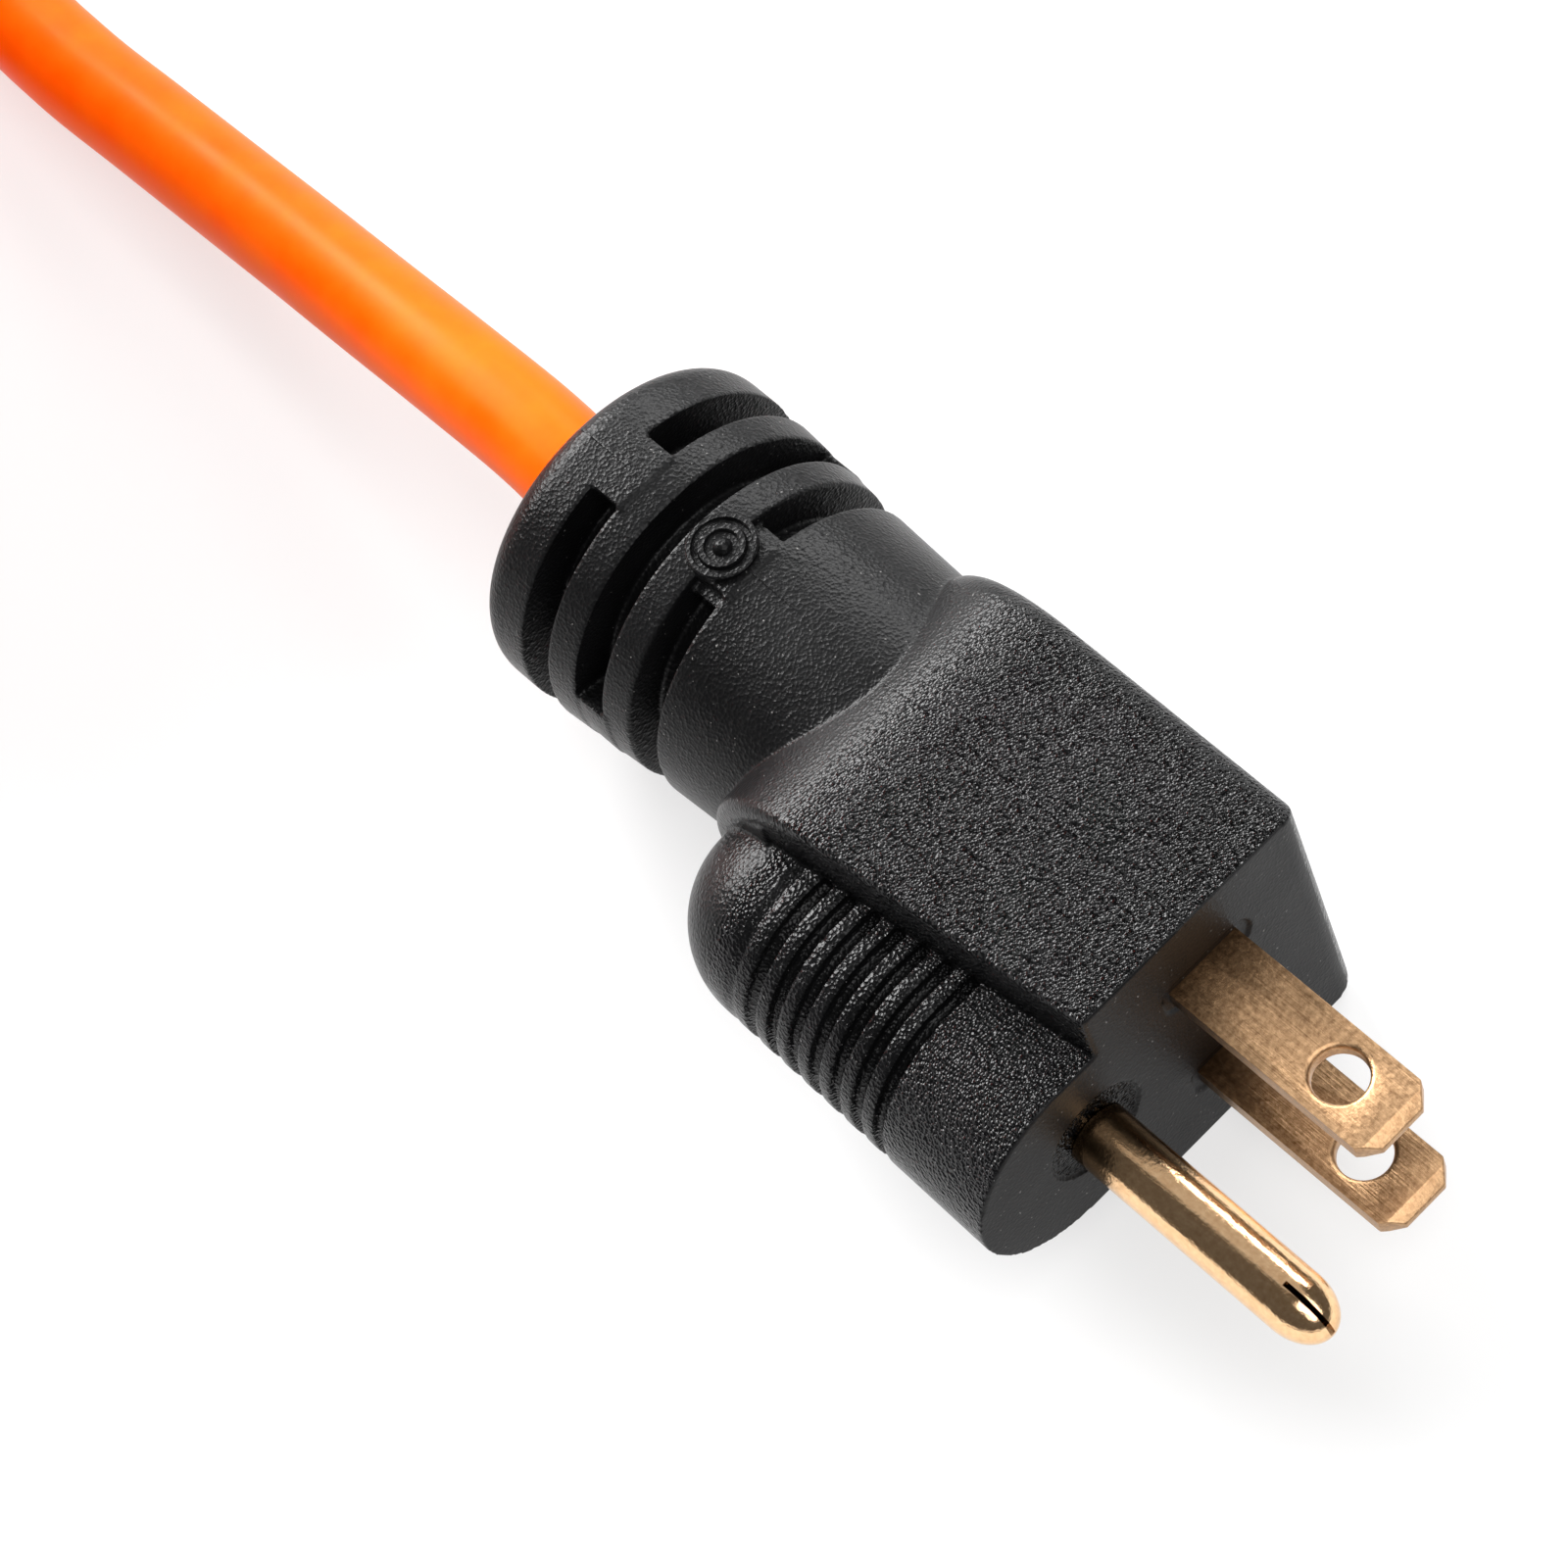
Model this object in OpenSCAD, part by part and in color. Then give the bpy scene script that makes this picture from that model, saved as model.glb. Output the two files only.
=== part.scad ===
// Three-wire extension cord: a moulded grounding plug, a soft round cord wound
// into a tied coil, and a moulded connector on the far end.
// Millimetres, +Z up. The plug lies on the flat side of its head with its blades
// along +X. The origin is under the middle of the plug.

/* [Plug head] */
// Length of the head's flat part, from the front face back
head_flat = 21.9; // [16:0.1:30]
// Height of the head, which is also the height of its round back
head_h = 27.6; // [25:0.1:32]
// Plain side of the head, from the line of the blades
head_side = 10.8; // [8:0.1:13]
// Side of the head towards the ground pin, at the front face
ledge_front = 10; // [8:0.1:11]
// Side of the head towards the ground pin, at the end of the flat part
ledge_back = 12.3; // [11:0.1:13]
// Rounding along the plain side's edges
head_round = 1.8; // [0.5:0.1:3]
// Rounding along the edges above the ledge
ledge_round = 0.8; // [0.3:0.1:1.5]

/* [Ground housing] */
// Axis of the ribbed housing, from the line of the blades
housing_y = 13.9; // [13:0.1:16]
// Radius of the housing at the front face
housing_r_front = 8.7; // [7:0.1:10]
// Radius of the housing where its dome begins
housing_r_back = 8.2; // [6.5:0.1:9]
// Length from the front face to the start of the dome
housing_len = 26.2; // [26:0.1:32]
// Number of grip grooves
groove_count = 8; // [4:1:9]
// Distance from the front face to the first grip groove
groove_start = 10.2; // [5:0.1:12]
// Distance between grip grooves
groove_pitch = 2.14; // [1.6:0.01:2.4]
// Width of a grip groove
groove_w = 1; // [0.5:0.1:1.4]
// Depth of a grip groove
groove_d = 0.6; // [0.3:0.1:1.2]

/* [Strain relief neck] */
// Length from the plug's front face to the neck's mouth
plug_len = 60.3; // [56:0.1:75]
// Radius at the neck's collar
neck_r_mouth = 13.2; // [11:0.1:14]
// Radius where the neck meets the head
neck_r_head = 10.7; // [10:0.1:12]
// Rounding of the collar at the mouth
neck_round = 2.3; // [1:0.1:3]
// Sideways offset of the neck towards the ground pin
neck_shift = 0.4; // [0:0.1:1]
// Distance from the mouth to the middle of the first slot
slot_start = 6.2; // [5:0.1:8]
// Distance between slots
slot_pitch = 5.25; // [4:0.05:6]
// Width of a slot along the neck
slot_w = 2.6; // [1.5:0.1:3]
// Depth of a slot
slot_d = 2.4; // [1:0.1:4]
// Half angle of the bridges that join the rings
slot_bridge = 11.5; // [8:0.5:20]
// Radius of the round pad where the plastic was injected
gate_r = 2.6; // [1.5:0.1:3]
// Distance from the mouth to the middle of that pad
gate_start = 15.4; // [13:0.1:18]
// Height of that pad above the neck
gate_h = 0.3; // [0.2:0.05:0.5]

/* [Blades and ground pin] */
// Distance between the middles of the two blades
blade_gap = 12.7; // [12.7]
// Width of a blade
blade_w = 6.35; // [6.2:0.05:6.5]
// Thickness of a blade
blade_t = 1.52; // [1.4:0.01:1.6]
// Length of a blade in front of the face
blade_len = 17.9; // [16:0.1:18.2]
// Distance from the face to the blade's hole
hole_x = 12.3; // [11.5:0.1:12.4]
// Radius of the blade's hole
hole_r = 1.985; // [1.8:0.005:2.1]
// Corner cut at a blade's tip
tip_cut = 1.3; // [0.6:0.1:2]
// Bevel round the edge of a blade's tip
tip_bevel = 0.45; // [0.2:0.05:0.6]
// Width of a blade's shank inside the bridge
shank_w = 4.5; // [3.5:0.1:5.5]
// Distance from the line of the blades to the ground pin
pin_y = 11.89; // [11.89]
// Radius of the ground pin
pin_r = 2.375; // [2.3:0.005:2.4]
// Length of the ground pin in front of the face
pin_len = 21.8; // [20:0.1:22.5]
// Length of the pin's rounded nose
nose_len = 3.4; // [2.4:0.1:5]
// Wall of the rolled brass pin
pin_wall = 0.7; // [0.4:0.05:1]
// Width of the seam left open at the nose
nose_slit = 0.45; // [0.2:0.05:0.8]
// Depth of the recess in the face round the pin's shoulder
pin_seat = 0.5; // [0.3:0.1:1]
// Radius of the pin's shank behind the face
pin_shank_r = 2.1; // [1.9:0.05:2.2]

/* [Blade bridge] */
// Distance from the front face to the bridge that holds the blades
bridge_front = 3; // [2:0.1:5]
// Length of the bridge along the blades
bridge_len = 7; // [5:0.1:9]
// Width of the bridge's main part
bridge_w = 14.4; // [12:0.1:15]
// Plain side of the bridge, from the line of the blades
bridge_side = 5.9; // [4.5:0.1:7]
// Height of the bridge
bridge_h = 19.6; // [17:0.1:21]
// Height of the tongue that holds the ground pin's shank
tongue_h = 12; // [8:0.1:12.5]
// Length of the tongue past the pin's axis
tongue_past = 3.7; // [3:0.1:4.5]
// Rounding of the bridge's corners
bridge_round = 3; // [1:0.1:4]

/* [Wires] */
// Diameter of the cord
cord_d = 8.1; // [7.6:0.1:8.5]
// Radius of an insulated wire
wire_r = 1.25; // [1.1:0.05:1.25]
// Distance from the cord's middle to each wire's middle
wire_out = 1.56; // [1.5:0.01:1.7]
// Radius of the bare copper strands
strand_r = 0.72; // [0.5:0.01:0.8]
// Length of a crimp barrel
crimp_len = 5.6; // [4:0.1:7]
// Outer radius of a crimp barrel
crimp_r = 1.4; // [1.2:0.05:1.6]
// Distance from the bridge or the contact block to a crimp
crimp_gap = 1.5; // [1:0.1:3]
// Length of bare strands between a crimp and a wire's insulation
bare_len = 0.5; // [0.3:0.1:1.5]
// Length of a wire's straight end behind its crimp
wire_lead = 2.5; // [1.5:0.1:4]
// Length of the wires' straight run in front of the jacket
fan_len = 2; // [1:0.1:4]
// Length of cord jacket held in a neck
jacket_len = 26.3; // [20:0.1:28]

/* [Connector] */
// Length of the connector's flat head
conn_flat = 28; // [24:0.1:36]
// Width of the connector's head
conn_w = 28; // [27:0.1:34]
// Height of the connector's head
conn_h = 27.6; // [25:0.1:32]
// Offset of the head's middle from the line of the blade slots
conn_mid = 5.2; // [4:0.1:7]
// Rounding along the head's edges
conn_round = 2.4; // [1:0.1:4]
// Length from the connector's face to the neck's mouth
conn_len = 66.4; // [62:0.1:80]
// Thickness of the face
face_t = 3; // [2:0.1:4]
// Width of a blade slot
slit_w = 2; // [1.8:0.05:2.2]
// Length of the line slot
line_slit = 6.9; // [6.7:0.1:7.2]
// Length of the neutral slot
neutral_slit = 8.1; // [7.6:0.1:8.4]
// Radius of the ground hole
ground_hole_r = 2.65; // [2.5:0.05:2.9]
// Number of grip grooves on each flat side
conn_grooves = 7; // [3:1:8]
// Distance from the face to the first grip groove
conn_groove_start = 8; // [5:0.1:10]
// Length of the connector's grip grooves
conn_groove_len = 18; // [10:0.1:22]

/* [Contacts] */
// Length of the block that holds the contacts
block_len = 21; // [19:0.1:24]
// Width of that block
block_w = 24; // [22.5:0.1:25]
// Height of that block
block_h = 20.6; // [19:0.1:22]
// Length of a contact's spring leaves
leaf_len = 13; // [10:0.1:15]
// Thickness of a contact's brass
leaf_t = 0.6; // [0.4:0.05:0.8]
// Clear width between the two leaves
leaf_gap = 1.6; // [1.5:0.05:2]
// Width of the line contact's leaves
line_leaf_w = 7.2; // [6.5:0.1:7.6]
// Width of the neutral contact's leaves
neutral_leaf_w = 8.2; // [7.5:0.1:8.6]
// Thickness of the block behind the contacts
block_back = 2; // [1:0.1:4]
// Inner radius of the ground contact
sleeve_r = 2.45; // [2.4:0.05:2.6]

/* [Coil and tie] */
// Distance across the long coil at the middle of its turns
coil_across = 72; // [71:1:76]
// Length of the coil's straight runs
coil_run = 91; // [80:0.5:104]
// Turns in each of the coil's layers
layer_turns = 2.5; // [1.5:1:2.5]
// Distance between neighbouring turns
turn_pitch = 8.7; // [8.6:0.1:9.4]
// Width of the hook and loop tie
tie_w = 20; // [12:1:30]
// Thickness of the tie
tie_t = 1.2; // [0.8:0.1:1.2]
// Height of the tie's lapped end above the floor
lap_low = 18; // [10:0.5:24]
// Length of the tie's lapped end
lap_len = 26; // [12:0.5:30]

/* [Hidden] */
$fn = 48;

// Clearance between a moulding and the piece it is moulded round
fit = 0.05;
// Clearance between the tie, the coil and what lies beside them
rest_gap = 0.3;
// How far a cutter runs past the face it cuts
past = 1;
cord_r = cord_d / 2;
blade_z = blade_gap / 2;
layer_count = 7;

// The plug's place: blades along +X, flat side down, origin under its middle
plug_at = [
  (plug_len - pin_len) / 2,
  (housing_y + housing_r_front - neck_r_mouth + neck_shift) / 2,
  head_h / 2
];
// The coil's place: its middle, and the height of its lowest turn
coil_mid = [-205, -30];
coil_low = tie_t + rest_gap + cord_r;
coil_r_out = coil_across / 2 + layer_turns * turn_pitch / 2;
coil_r_in = coil_across / 2 - layer_turns * turn_pitch / 2;
coil_high = coil_low + (layer_count - 1) * turn_pitch;
coil_turns = layer_count * layer_turns;
// The top of the coil, with the tie round one run and the tail over the tie
coil_top = coil_high + cord_r + rest_gap;
tail_high = coil_top + tie_t + rest_gap + cord_r;

// The connector's place on the coil, its side flush with the outermost turn
conn_past = 28.5;
conn_at = [
  coil_mid[0] + conn_past,
  coil_mid[1] - coil_r_out - cord_r + conn_w / 2 + conn_mid,
  coil_top + conn_h / 2
];
rings_per_turn = 24;
coil_sides = 6;
cord_sides = 12;
// Share of a half turn that each half of a straight run takes
run_share = 1 / 12;

// ---------------------------------------------------------------- cord route

// From the plug's neck the cord sags to the floor and runs to the coil
neck_mouth = plug_at + [-plug_len, -neck_shift, 0];
RUN = [
  [-50, 5.1, 13.6], [-60, 5.3, 12.5], [-70, 5.55, 10.6], [-80, 5.9, 8.4],
  [-90, 6.1, 6.5], [-100, 6.15, 5.2], [-110, 6.1, 4.5], [-120, 6.9, 4.2],
  [-130, 10, 4.2], [-140, 14.1, 4.6], [-150, 16.45, 5.2],
  [-160, 16.875, 5.55], [-180, 16.875, 5.55]
];

function unit(v) = v / norm(v);
function last(v) = v[len(v) - 1];

// Direction of a path at its point i
function heading(path, i) =
  unit(path[min(i + 1, len(path) - 1)] - path[max(i - 1, 0)]);

// One ring of a tube, square to the path at its point i
function ring(path, i, r, sides, ahead) =
  let (side = unit(cross(ahead, [0, 0, 1])), up = cross(side, ahead))
  [for (k = [0:sides - 1])
    let (a = 360 * k / sides)
    path[i] + r * cos(a) * side + r * sin(a) * up];

// A round tube along a path. Its first and last rings face start and finish.
module tube(path, r, sides, start, finish) {
  count = len(path);
  points = [for (i = [0:count - 1])
    let (ahead = i == 0 ? start : i == count - 1 ? finish : heading(path, i))
    each ring(path, i, r, sides, ahead)];
  walls = [for (i = [0:count - 2], k = [0:sides - 1])
    let (a = i * sides + k, b = i * sides + (k + 1) % sides)
    each [[a, b, b + sides], [a, b + sides, a + sides]]];
  first_cap = [for (k = [1:sides - 2]) [0, k + 1, k]];
  base = (count - 1) * sides;
  last_cap = [for (k = [1:sides - 2]) [base, base + k, base + k + 1]];
  polyhedron(points = points, faces = concat(walls, first_cap, last_cap));
}

// ------------------------------------------------------------------ the coil

// The spiral's distance from the middle, in and out again at a steady rate
function spiral_r(u) =
  let (layer = min(floor(u / layer_turns), layer_count - 1),
       done = u - layer * layer_turns)
  layer % 2 == 0 ? coil_r_out - turn_pitch * done
                 : coil_r_in + turn_pitch * done;

// The spiral climbs a layer in the half turn where it reverses
function climb(u, k) = min(max((u - k * layer_turns) * 2 + 0.5, 0), 1);
function climbs(u, k = 1) =
  k >= layer_count ? 0 : climb(u, k) + climbs(u, k + 1);

// A point of a long oval after u turns, which starts on the run towards +Y
function oval(u, r, z) =
  let (half = floor(2 * u), v = 2 * u - half, side = 1 - 2 * (half % 2),
       fold = (v - run_share) / (1 - 2 * run_share),
       a = 90 + 180 * min(max(fold, 0), 1),
       reach = coil_run / 2 * min(v, 1 - v, run_share) / run_share)
  [coil_mid[0] + side * (r * cos(a) - reach), coil_mid[1] + side * r * sin(a), z];

function coil_point(u) =
  oval(u, spiral_r(u), coil_low + turn_pitch * climbs(u));

coil_steps = round(coil_turns * rings_per_turn);
coil_rings = [for (i = [0:coil_steps]) coil_point(i / rings_per_turn)];
coil_way_in = [-1, 0, 0];
coil_way_out = [1, 0, 0];
coil_start = coil_rings[0] - cord_d * coil_way_in;
coil_finish = last(coil_rings) + cord_d * coil_way_out;
coil_path = concat([coil_start], coil_rings, [coil_finish]);

run_path = concat([neck_mouth], RUN, [coil_start]);
conn_mouth = conn_at + [-conn_len, -neck_shift, 0];

// The tail goes once more round on top of the coil, then into the connector
tail_r_low = coil_r_in - 1;
tail_r = coil_mid[1] - conn_mouth[1];
tail_steps = 40;
function ease(from, to, t) =
  let (v = min(max((t - from) / (to - from), 0), 1)) v * v * (3 - 2 * v);
function tail_point(t) =
  oval(coil_turns + t,
       coil_r_in + (tail_r_low - coil_r_in) * ease(0, 0.14, t)
         + (tail_r - tail_r_low) * ease(0.15, 0.6, t),
       coil_high + (tail_high - coil_high) * ease(0.03, 0.3, t)
         + (conn_at[2] - tail_high) * ease(0.66, 0.955, t));
tail_rings = [for (i = [2:tail_steps - 2]) tail_point(i / tail_steps)];
tail_path = concat([coil_finish], tail_rings, [conn_mouth]);

// Least gap between the coil's turns, on its rings and midway between them
coil_fine = [for (i = [0:coil_steps - 1])
  each [coil_rings[i], (coil_rings[i] + coil_rings[i + 1]) / 2]];
fine_turn = 2 * rings_per_turn;
coil_gap = min([for (i = [0:len(coil_fine) - 1], t = [1:floor(coil_turns)],
                     s = [-2:2])
  let (j = i + t * fine_turn + s)
  if (j < len(coil_fine)) norm(coil_fine[i] - coil_fine[j])]) - cord_d;

function path_length(path, i = 0) =
  i >= len(path) - 1 ? 0
                     : norm(path[i + 1] - path[i]) + path_length(path, i + 1);
cord_length = path_length(run_path) + path_length(coil_path)
  + path_length(tail_path);
echo(least_gap_between_turns = coil_gap, cord_length = cord_length);

// -------------------------------------------------------------------- shapes

// A rectangle from the origin with four rounded corners
module rounded(w, h, r) {
  translate([r, 0]) square([w - 2 * r, h]);
  translate([0, r]) square([w, h - 2 * r]);
  for (x = [r, w - r], y = [r, h - r]) translate([x, y]) circle(r = r);
}

// Draws its children's Y-Z outline and runs it back from the origin along -X
module run_back(length) {
  translate([-length, 0, 0]) rotate([90, 0, 90]) linear_extrude(length)
    children();
}

// Turns a revolved solid's axis from Z to X
module along_x() {
  rotate([0, 90, 0]) children();
}

// A slab with a round back and rounded edges, from y = 0 to y = w
module head_slab(flat, h, w, r, ahead) {
  translate([ahead, 0, 0]) run_back(flat + ahead)
    translate([0, -h / 2]) rounded(w, h, r);
  translate([-flat, w, 0]) rotate([90, 0, 0]) rotate([0, 0, 90])
    rotate_extrude(angle = 180) intersection() {
      translate([-h / 2, 0]) rounded(h, w, r);
      square([h, w]);
    }
}

// One slot round the neck, from one angle to another. Angle 0 points down.
module neck_slot(at, from, sweep) {
  translate([at - slot_w / 2, 0, 0]) along_x() rotate([0, 0, from])
    rotate_extrude(angle = sweep)
      translate([neck_r_head + (neck_r_mouth - neck_r_head) / 2 - slot_d, 0])
        square([neck_r_mouth, slot_w]);
}

// The strain relief: mouth at the origin, head towards +X
module neck(length) {
  difference() {
    along_x() rotate_extrude() {
      polygon([
        [0, 0], [neck_r_mouth - neck_round, 0], [neck_r_mouth, neck_round],
        [neck_r_mouth, slot_start], [neck_r_head, length - head_h / 3],
        [neck_r_head, length], [0, length]
      ]);
      translate([neck_r_mouth - neck_round, neck_round])
        circle(r = neck_round);
    }
    for (i = [0:2]) for (side = [0, 180])
      neck_slot(slot_start + i * slot_pitch,
                side + slot_bridge + (i == 1 ? -90 : 0),
                180 - 2 * slot_bridge);
  }
  taper = (neck_r_mouth - neck_r_head) / (length - head_h / 3 - slot_start);
  gate_top = neck_r_mouth - taper * (gate_start - slot_start) + gate_h;
  translate([gate_start, 0, 0]) cylinder(r = gate_r, h = gate_top);
}

// A round bar from one point to another
module bar(from, to, r) {
  reach = to - from;
  translate(from)
    rotate([0, acos(reach[2] / norm(reach)), atan2(reach[1], reach[0])])
      cylinder(r = r, h = norm(reach));
}

// A wire along a short path, which starts and ends along -X
module wire(path) {
  tube(path, wire_r, cord_sides, [-1, 0, 0], [-1, 0, 0]);
}

// A crimp barrel, folded from sheet, with its seam on top
module crimp(grow) {
  difference() {
    along_x() cylinder(r = crimp_r + grow, h = crimp_len + grow);
    if (grow == 0) {
      translate([-past, 0, 0]) along_x()
        cylinder(r = strand_r + fit, h = crimp_len);
      translate([-past, -nose_slit / 2, 0])
        cube([crimp_len, nose_slit, crimp_r + past]);
    }
  }
}

// -------------------------------------------------------- plug's inner parts

back_of_bridge = -(bridge_front + bridge_len);
crimp_x = back_of_bridge - crimp_gap - crimp_len;
wire_x = crimp_x - bare_len;
bend_x = wire_x - wire_lead;
jacket_x = -plug_len + jacket_len;

// Where a wire lies in the cord: line on top, neutral and ground below
function wire_slot(turn) =
  [wire_out * cos(turn), wire_out * sin(turn)];
wire_turn = 360 / 3;
line_slot = wire_slot(90);
neutral_slot = wire_slot(90 - wire_turn);
ground_slot = wire_slot(90 + wire_turn);

// A wire from its crimp to the neck's mouth
function wire_path(front, bend, y, z, slot, back, mouth) = [
  [front, y, z],
  [bend, y, z],
  [back + fan_len, slot[0] - neck_shift, slot[1]],
  [mouth, slot[0] - neck_shift, slot[1]]
];
plug_line = wire_path(wire_x, bend_x, 0, blade_z, line_slot,
                      jacket_x, -plug_len);
plug_neutral = wire_path(wire_x, bend_x, 0, -blade_z, neutral_slot,
                         jacket_x, -plug_len);
plug_ground = wire_path(wire_x, bend_x, -pin_y, 0, ground_slot,
                        jacket_x, -plug_len);

// A blade lying in the X-Y plane, its tip cut and bevelled
module blade(grow = 0) {
  half = blade_w / 2 + grow;
  thick = blade_t / 2 + grow;
  shank = shank_w / 2 + grow;
  intersection() {
    translate([0, 0, -thick]) linear_extrude(2 * thick) polygon([
      [-bridge_front, -half], [blade_len - tip_cut, -half],
      [blade_len, -half + tip_cut], [blade_len, half - tip_cut],
      [blade_len - tip_cut, half], [-bridge_front, half],
      [-bridge_front, shank], [back_of_bridge, shank],
      [back_of_bridge, crimp_r + grow], [crimp_x + crimp_len - past, crimp_r + grow],
      [crimp_x + crimp_len - past, -crimp_r - grow],
      [back_of_bridge, -crimp_r - grow],
      [back_of_bridge, -shank], [-bridge_front, -shank]
    ]);
    rotate([90, 0, 0]) translate([0, 0, -blade_w]) linear_extrude(2 * blade_w)
      polygon([
        [-plug_len, -thick], [blade_len - 2 * tip_bevel, -thick],
        [blade_len, -thick + tip_bevel], [blade_len, thick - tip_bevel],
        [blade_len - 2 * tip_bevel, thick], [-plug_len, thick]
      ]);
  }
}

// The whole blade, with its hole and its crimp
module blade_metal(grow = 0) {
  difference() {
    union() {
      blade(grow);
      translate([crimp_x, 0, 0]) crimp(grow);
    }
    if (grow == 0) {
      translate([hole_x, 0, -blade_t]) cylinder(r = hole_r, h = 2 * blade_t);
      translate([crimp_x - past, 0, 0]) along_x()
        cylinder(r = strand_r + fit, h = crimp_len);
    }
  }
}

// A round nose as a quarter ellipse, from its wall to its tip
function nose(start, length, r) =
  [for (a = [0:10:90]) [r * cos(a), start + length * sin(a)]];

// The rolled ground pin on the X axis: nose, wall, shank and crimp
module pin_metal() {
  straight = pin_len - nose_len;
  outside = nose(straight, nose_len, pin_r);
  inside = nose(straight, nose_len - pin_wall, pin_r - pin_wall);
  count = len(inside);
  difference() {
    union() {
      along_x() rotate_extrude() polygon(concat(
        [[0, 0], [pin_r, 0]], outside,
        [for (i = [1:count]) inside[count - i]],
        [[pin_r - pin_wall, pin_wall], [0, pin_wall]]));
      pin_shank(0);
    }
    translate([straight - nose_len / 6, -nose_slit / 2, 0])
      cube([nose_len * 2, nose_slit, pin_r * 2]);
  }
}

// The pin's solid shank behind the face, and its crimp
module pin_shank(grow) {
  reach = crimp_x + crimp_len - past;
  translate([back_of_bridge - fit, 0, 0]) along_x()
    cylinder(r = pin_shank_r + grow, h = -back_of_bridge + fit);
  translate([reach, 0, 0]) along_x()
    cylinder(r = crimp_r + grow, h = back_of_bridge - reach);
  translate([crimp_x, 0, 0]) crimp(grow);
}

// The bridge: a block round the blades and a tongue round the pin's shank
module bridge_block(grow) {
  tongue = pin_y + tongue_past;
  translate([-bridge_front + grow, 0, 0]) run_back(bridge_len + 2 * grow) {
    translate([bridge_side - bridge_w - grow, -bridge_h / 2 - grow])
      rounded(bridge_w + 2 * grow, bridge_h + 2 * grow, bridge_round);
    translate([-tongue - grow, -tongue_h / 2 - grow])
      rounded(tongue + 2 * grow, tongue_h + 2 * grow, bridge_round);
  }
}

// The jacket's held end, with its three wire holes
module jacket_end(front, mouth) {
  difference() {
    translate([mouth, -neck_shift, 0]) along_x()
      cylinder(r = cord_r, h = front - mouth);
    for (slot = [line_slot, neutral_slot, ground_slot])
      translate([mouth - past, slot[0] - neck_shift, slot[1]]) along_x()
        cylinder(r = wire_r + fit, h = front - mouth + 2 * past);
  }
}

// The hollow that three wires and the held end of the jacket leave
module wires_hollow(paths, front, mouth) {
  lap = wire_r / 2;
  for (path = paths) {
    way = unit(path[2] - path[1]);
    bar(path[1], path[0], wire_r + fit);
    bar(path[1] - lap * way, path[2], wire_r + 3 * fit);
  }
  translate([front, -neck_shift, 0]) along_x()
    cylinder(r = wire_out + wire_r + fit, h = fan_len + lap);
  translate([mouth - past, -neck_shift, 0]) along_x()
    cylinder(r = cord_r + fit, h = front - mouth + past + fit);
}

// Bare strands from a wire's end into its crimp
module strands(front, y, z) {
  translate([front, y, z]) along_x()
    cylinder(r = strand_r, h = crimp_len - past);
}

// ------------------------------------------------------------ plug's outside

// The rounded barrel round the ground pin, with its flat way to the head
module housing(shrink) {
  back = housing_r_back - shrink;
  front = housing_r_front - shrink;
  translate([-housing_len, -housing_y, 0]) {
    along_x() cylinder(r1 = back, r2 = front, h = housing_len);
    sphere(r = back);
    rotate([-90, 0, 0]) linear_extrude(housing_y) {
      circle(r = back);
      polygon([[0, -back], [housing_len, -front], [housing_len, front],
               [0, back]]);
    }
  }
}

module ribbed_housing() {
  housing(groove_d);
  difference() {
    housing(0);
    for (i = [0:groove_count - 1])
      translate([-groove_start - i * groove_pitch - groove_w / 2,
                 -housing_y - head_h, -head_h])
        cube([groove_w, housing_y + head_h, 2 * head_h]);
  }
}

// The head: a round-backed slab whose ledge side slants outwards to the back
module head() {
  slant = atan2(ledge_back - ledge_front, head_flat);
  slack = 0.05;
  intersection() {
    translate([0, head_side - 2 * head_h, 0])
      head_slab(head_flat, head_h, 2 * head_h, head_round, 0);
    translate([0, -ledge_front, 0]) rotate([0, 0, slant])
      head_slab(head_flat / cos(slant) + slack, head_h + 2 * slack,
                2 * head_h, ledge_round, head_h);
  }
}

module plug_body() {
  color([0.05, 0.05, 0.055]) translate(plug_at) difference() {
    union() {
      head();
      ribbed_housing();
      translate([-plug_len, -neck_shift, 0]) neck(plug_len - head_flat / 2);
    }
    bridge_block(fit);
    for (z = [-blade_z, blade_z]) translate([0, 0, z]) blade_metal(fit);
    translate([0, -pin_y, 0]) pin_shank(fit);
    translate([-pin_seat, -pin_y, 0]) along_x()
      cylinder(r = pin_r + fit, h = pin_seat + past);
    wires_hollow([plug_line, plug_neutral, plug_ground], jacket_x, -plug_len);
  }
}

module blade_bridge() {
  color([0.16, 0.16, 0.17]) translate(plug_at) difference() {
    bridge_block(0);
    for (z = [-blade_z, blade_z]) translate([0, 0, z]) blade(fit);
    translate([back_of_bridge - past, -pin_y, 0]) along_x()
      cylinder(r = pin_shank_r + fit, h = bridge_len + 2 * past);
  }
}

module line_blade() {
  color([0.66, 0.52, 0.33]) translate(plug_at + [0, 0, blade_z])
    blade_metal();
}

module neutral_blade() {
  color([0.66, 0.52, 0.33]) translate(plug_at - [0, 0, blade_z])
    blade_metal();
}

module ground_pin() {
  color([0.80, 0.62, 0.36]) translate(plug_at - [0, pin_y, 0]) pin_metal();
}

module plug_line_lead() {
  color([0.08, 0.08, 0.08]) translate(plug_at) wire(plug_line);
}

module plug_neutral_lead() {
  color([0.90, 0.90, 0.88]) translate(plug_at) wire(plug_neutral);
}

module plug_ground_lead() {
  color([0.10, 0.42, 0.18]) translate(plug_at) wire(plug_ground);
}

module plug_line_strands() {
  color([0.72, 0.42, 0.26]) translate(plug_at) strands(wire_x, 0, blade_z);
}

module plug_neutral_strands() {
  color([0.72, 0.42, 0.26]) translate(plug_at) strands(wire_x, 0, -blade_z);
}

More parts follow.
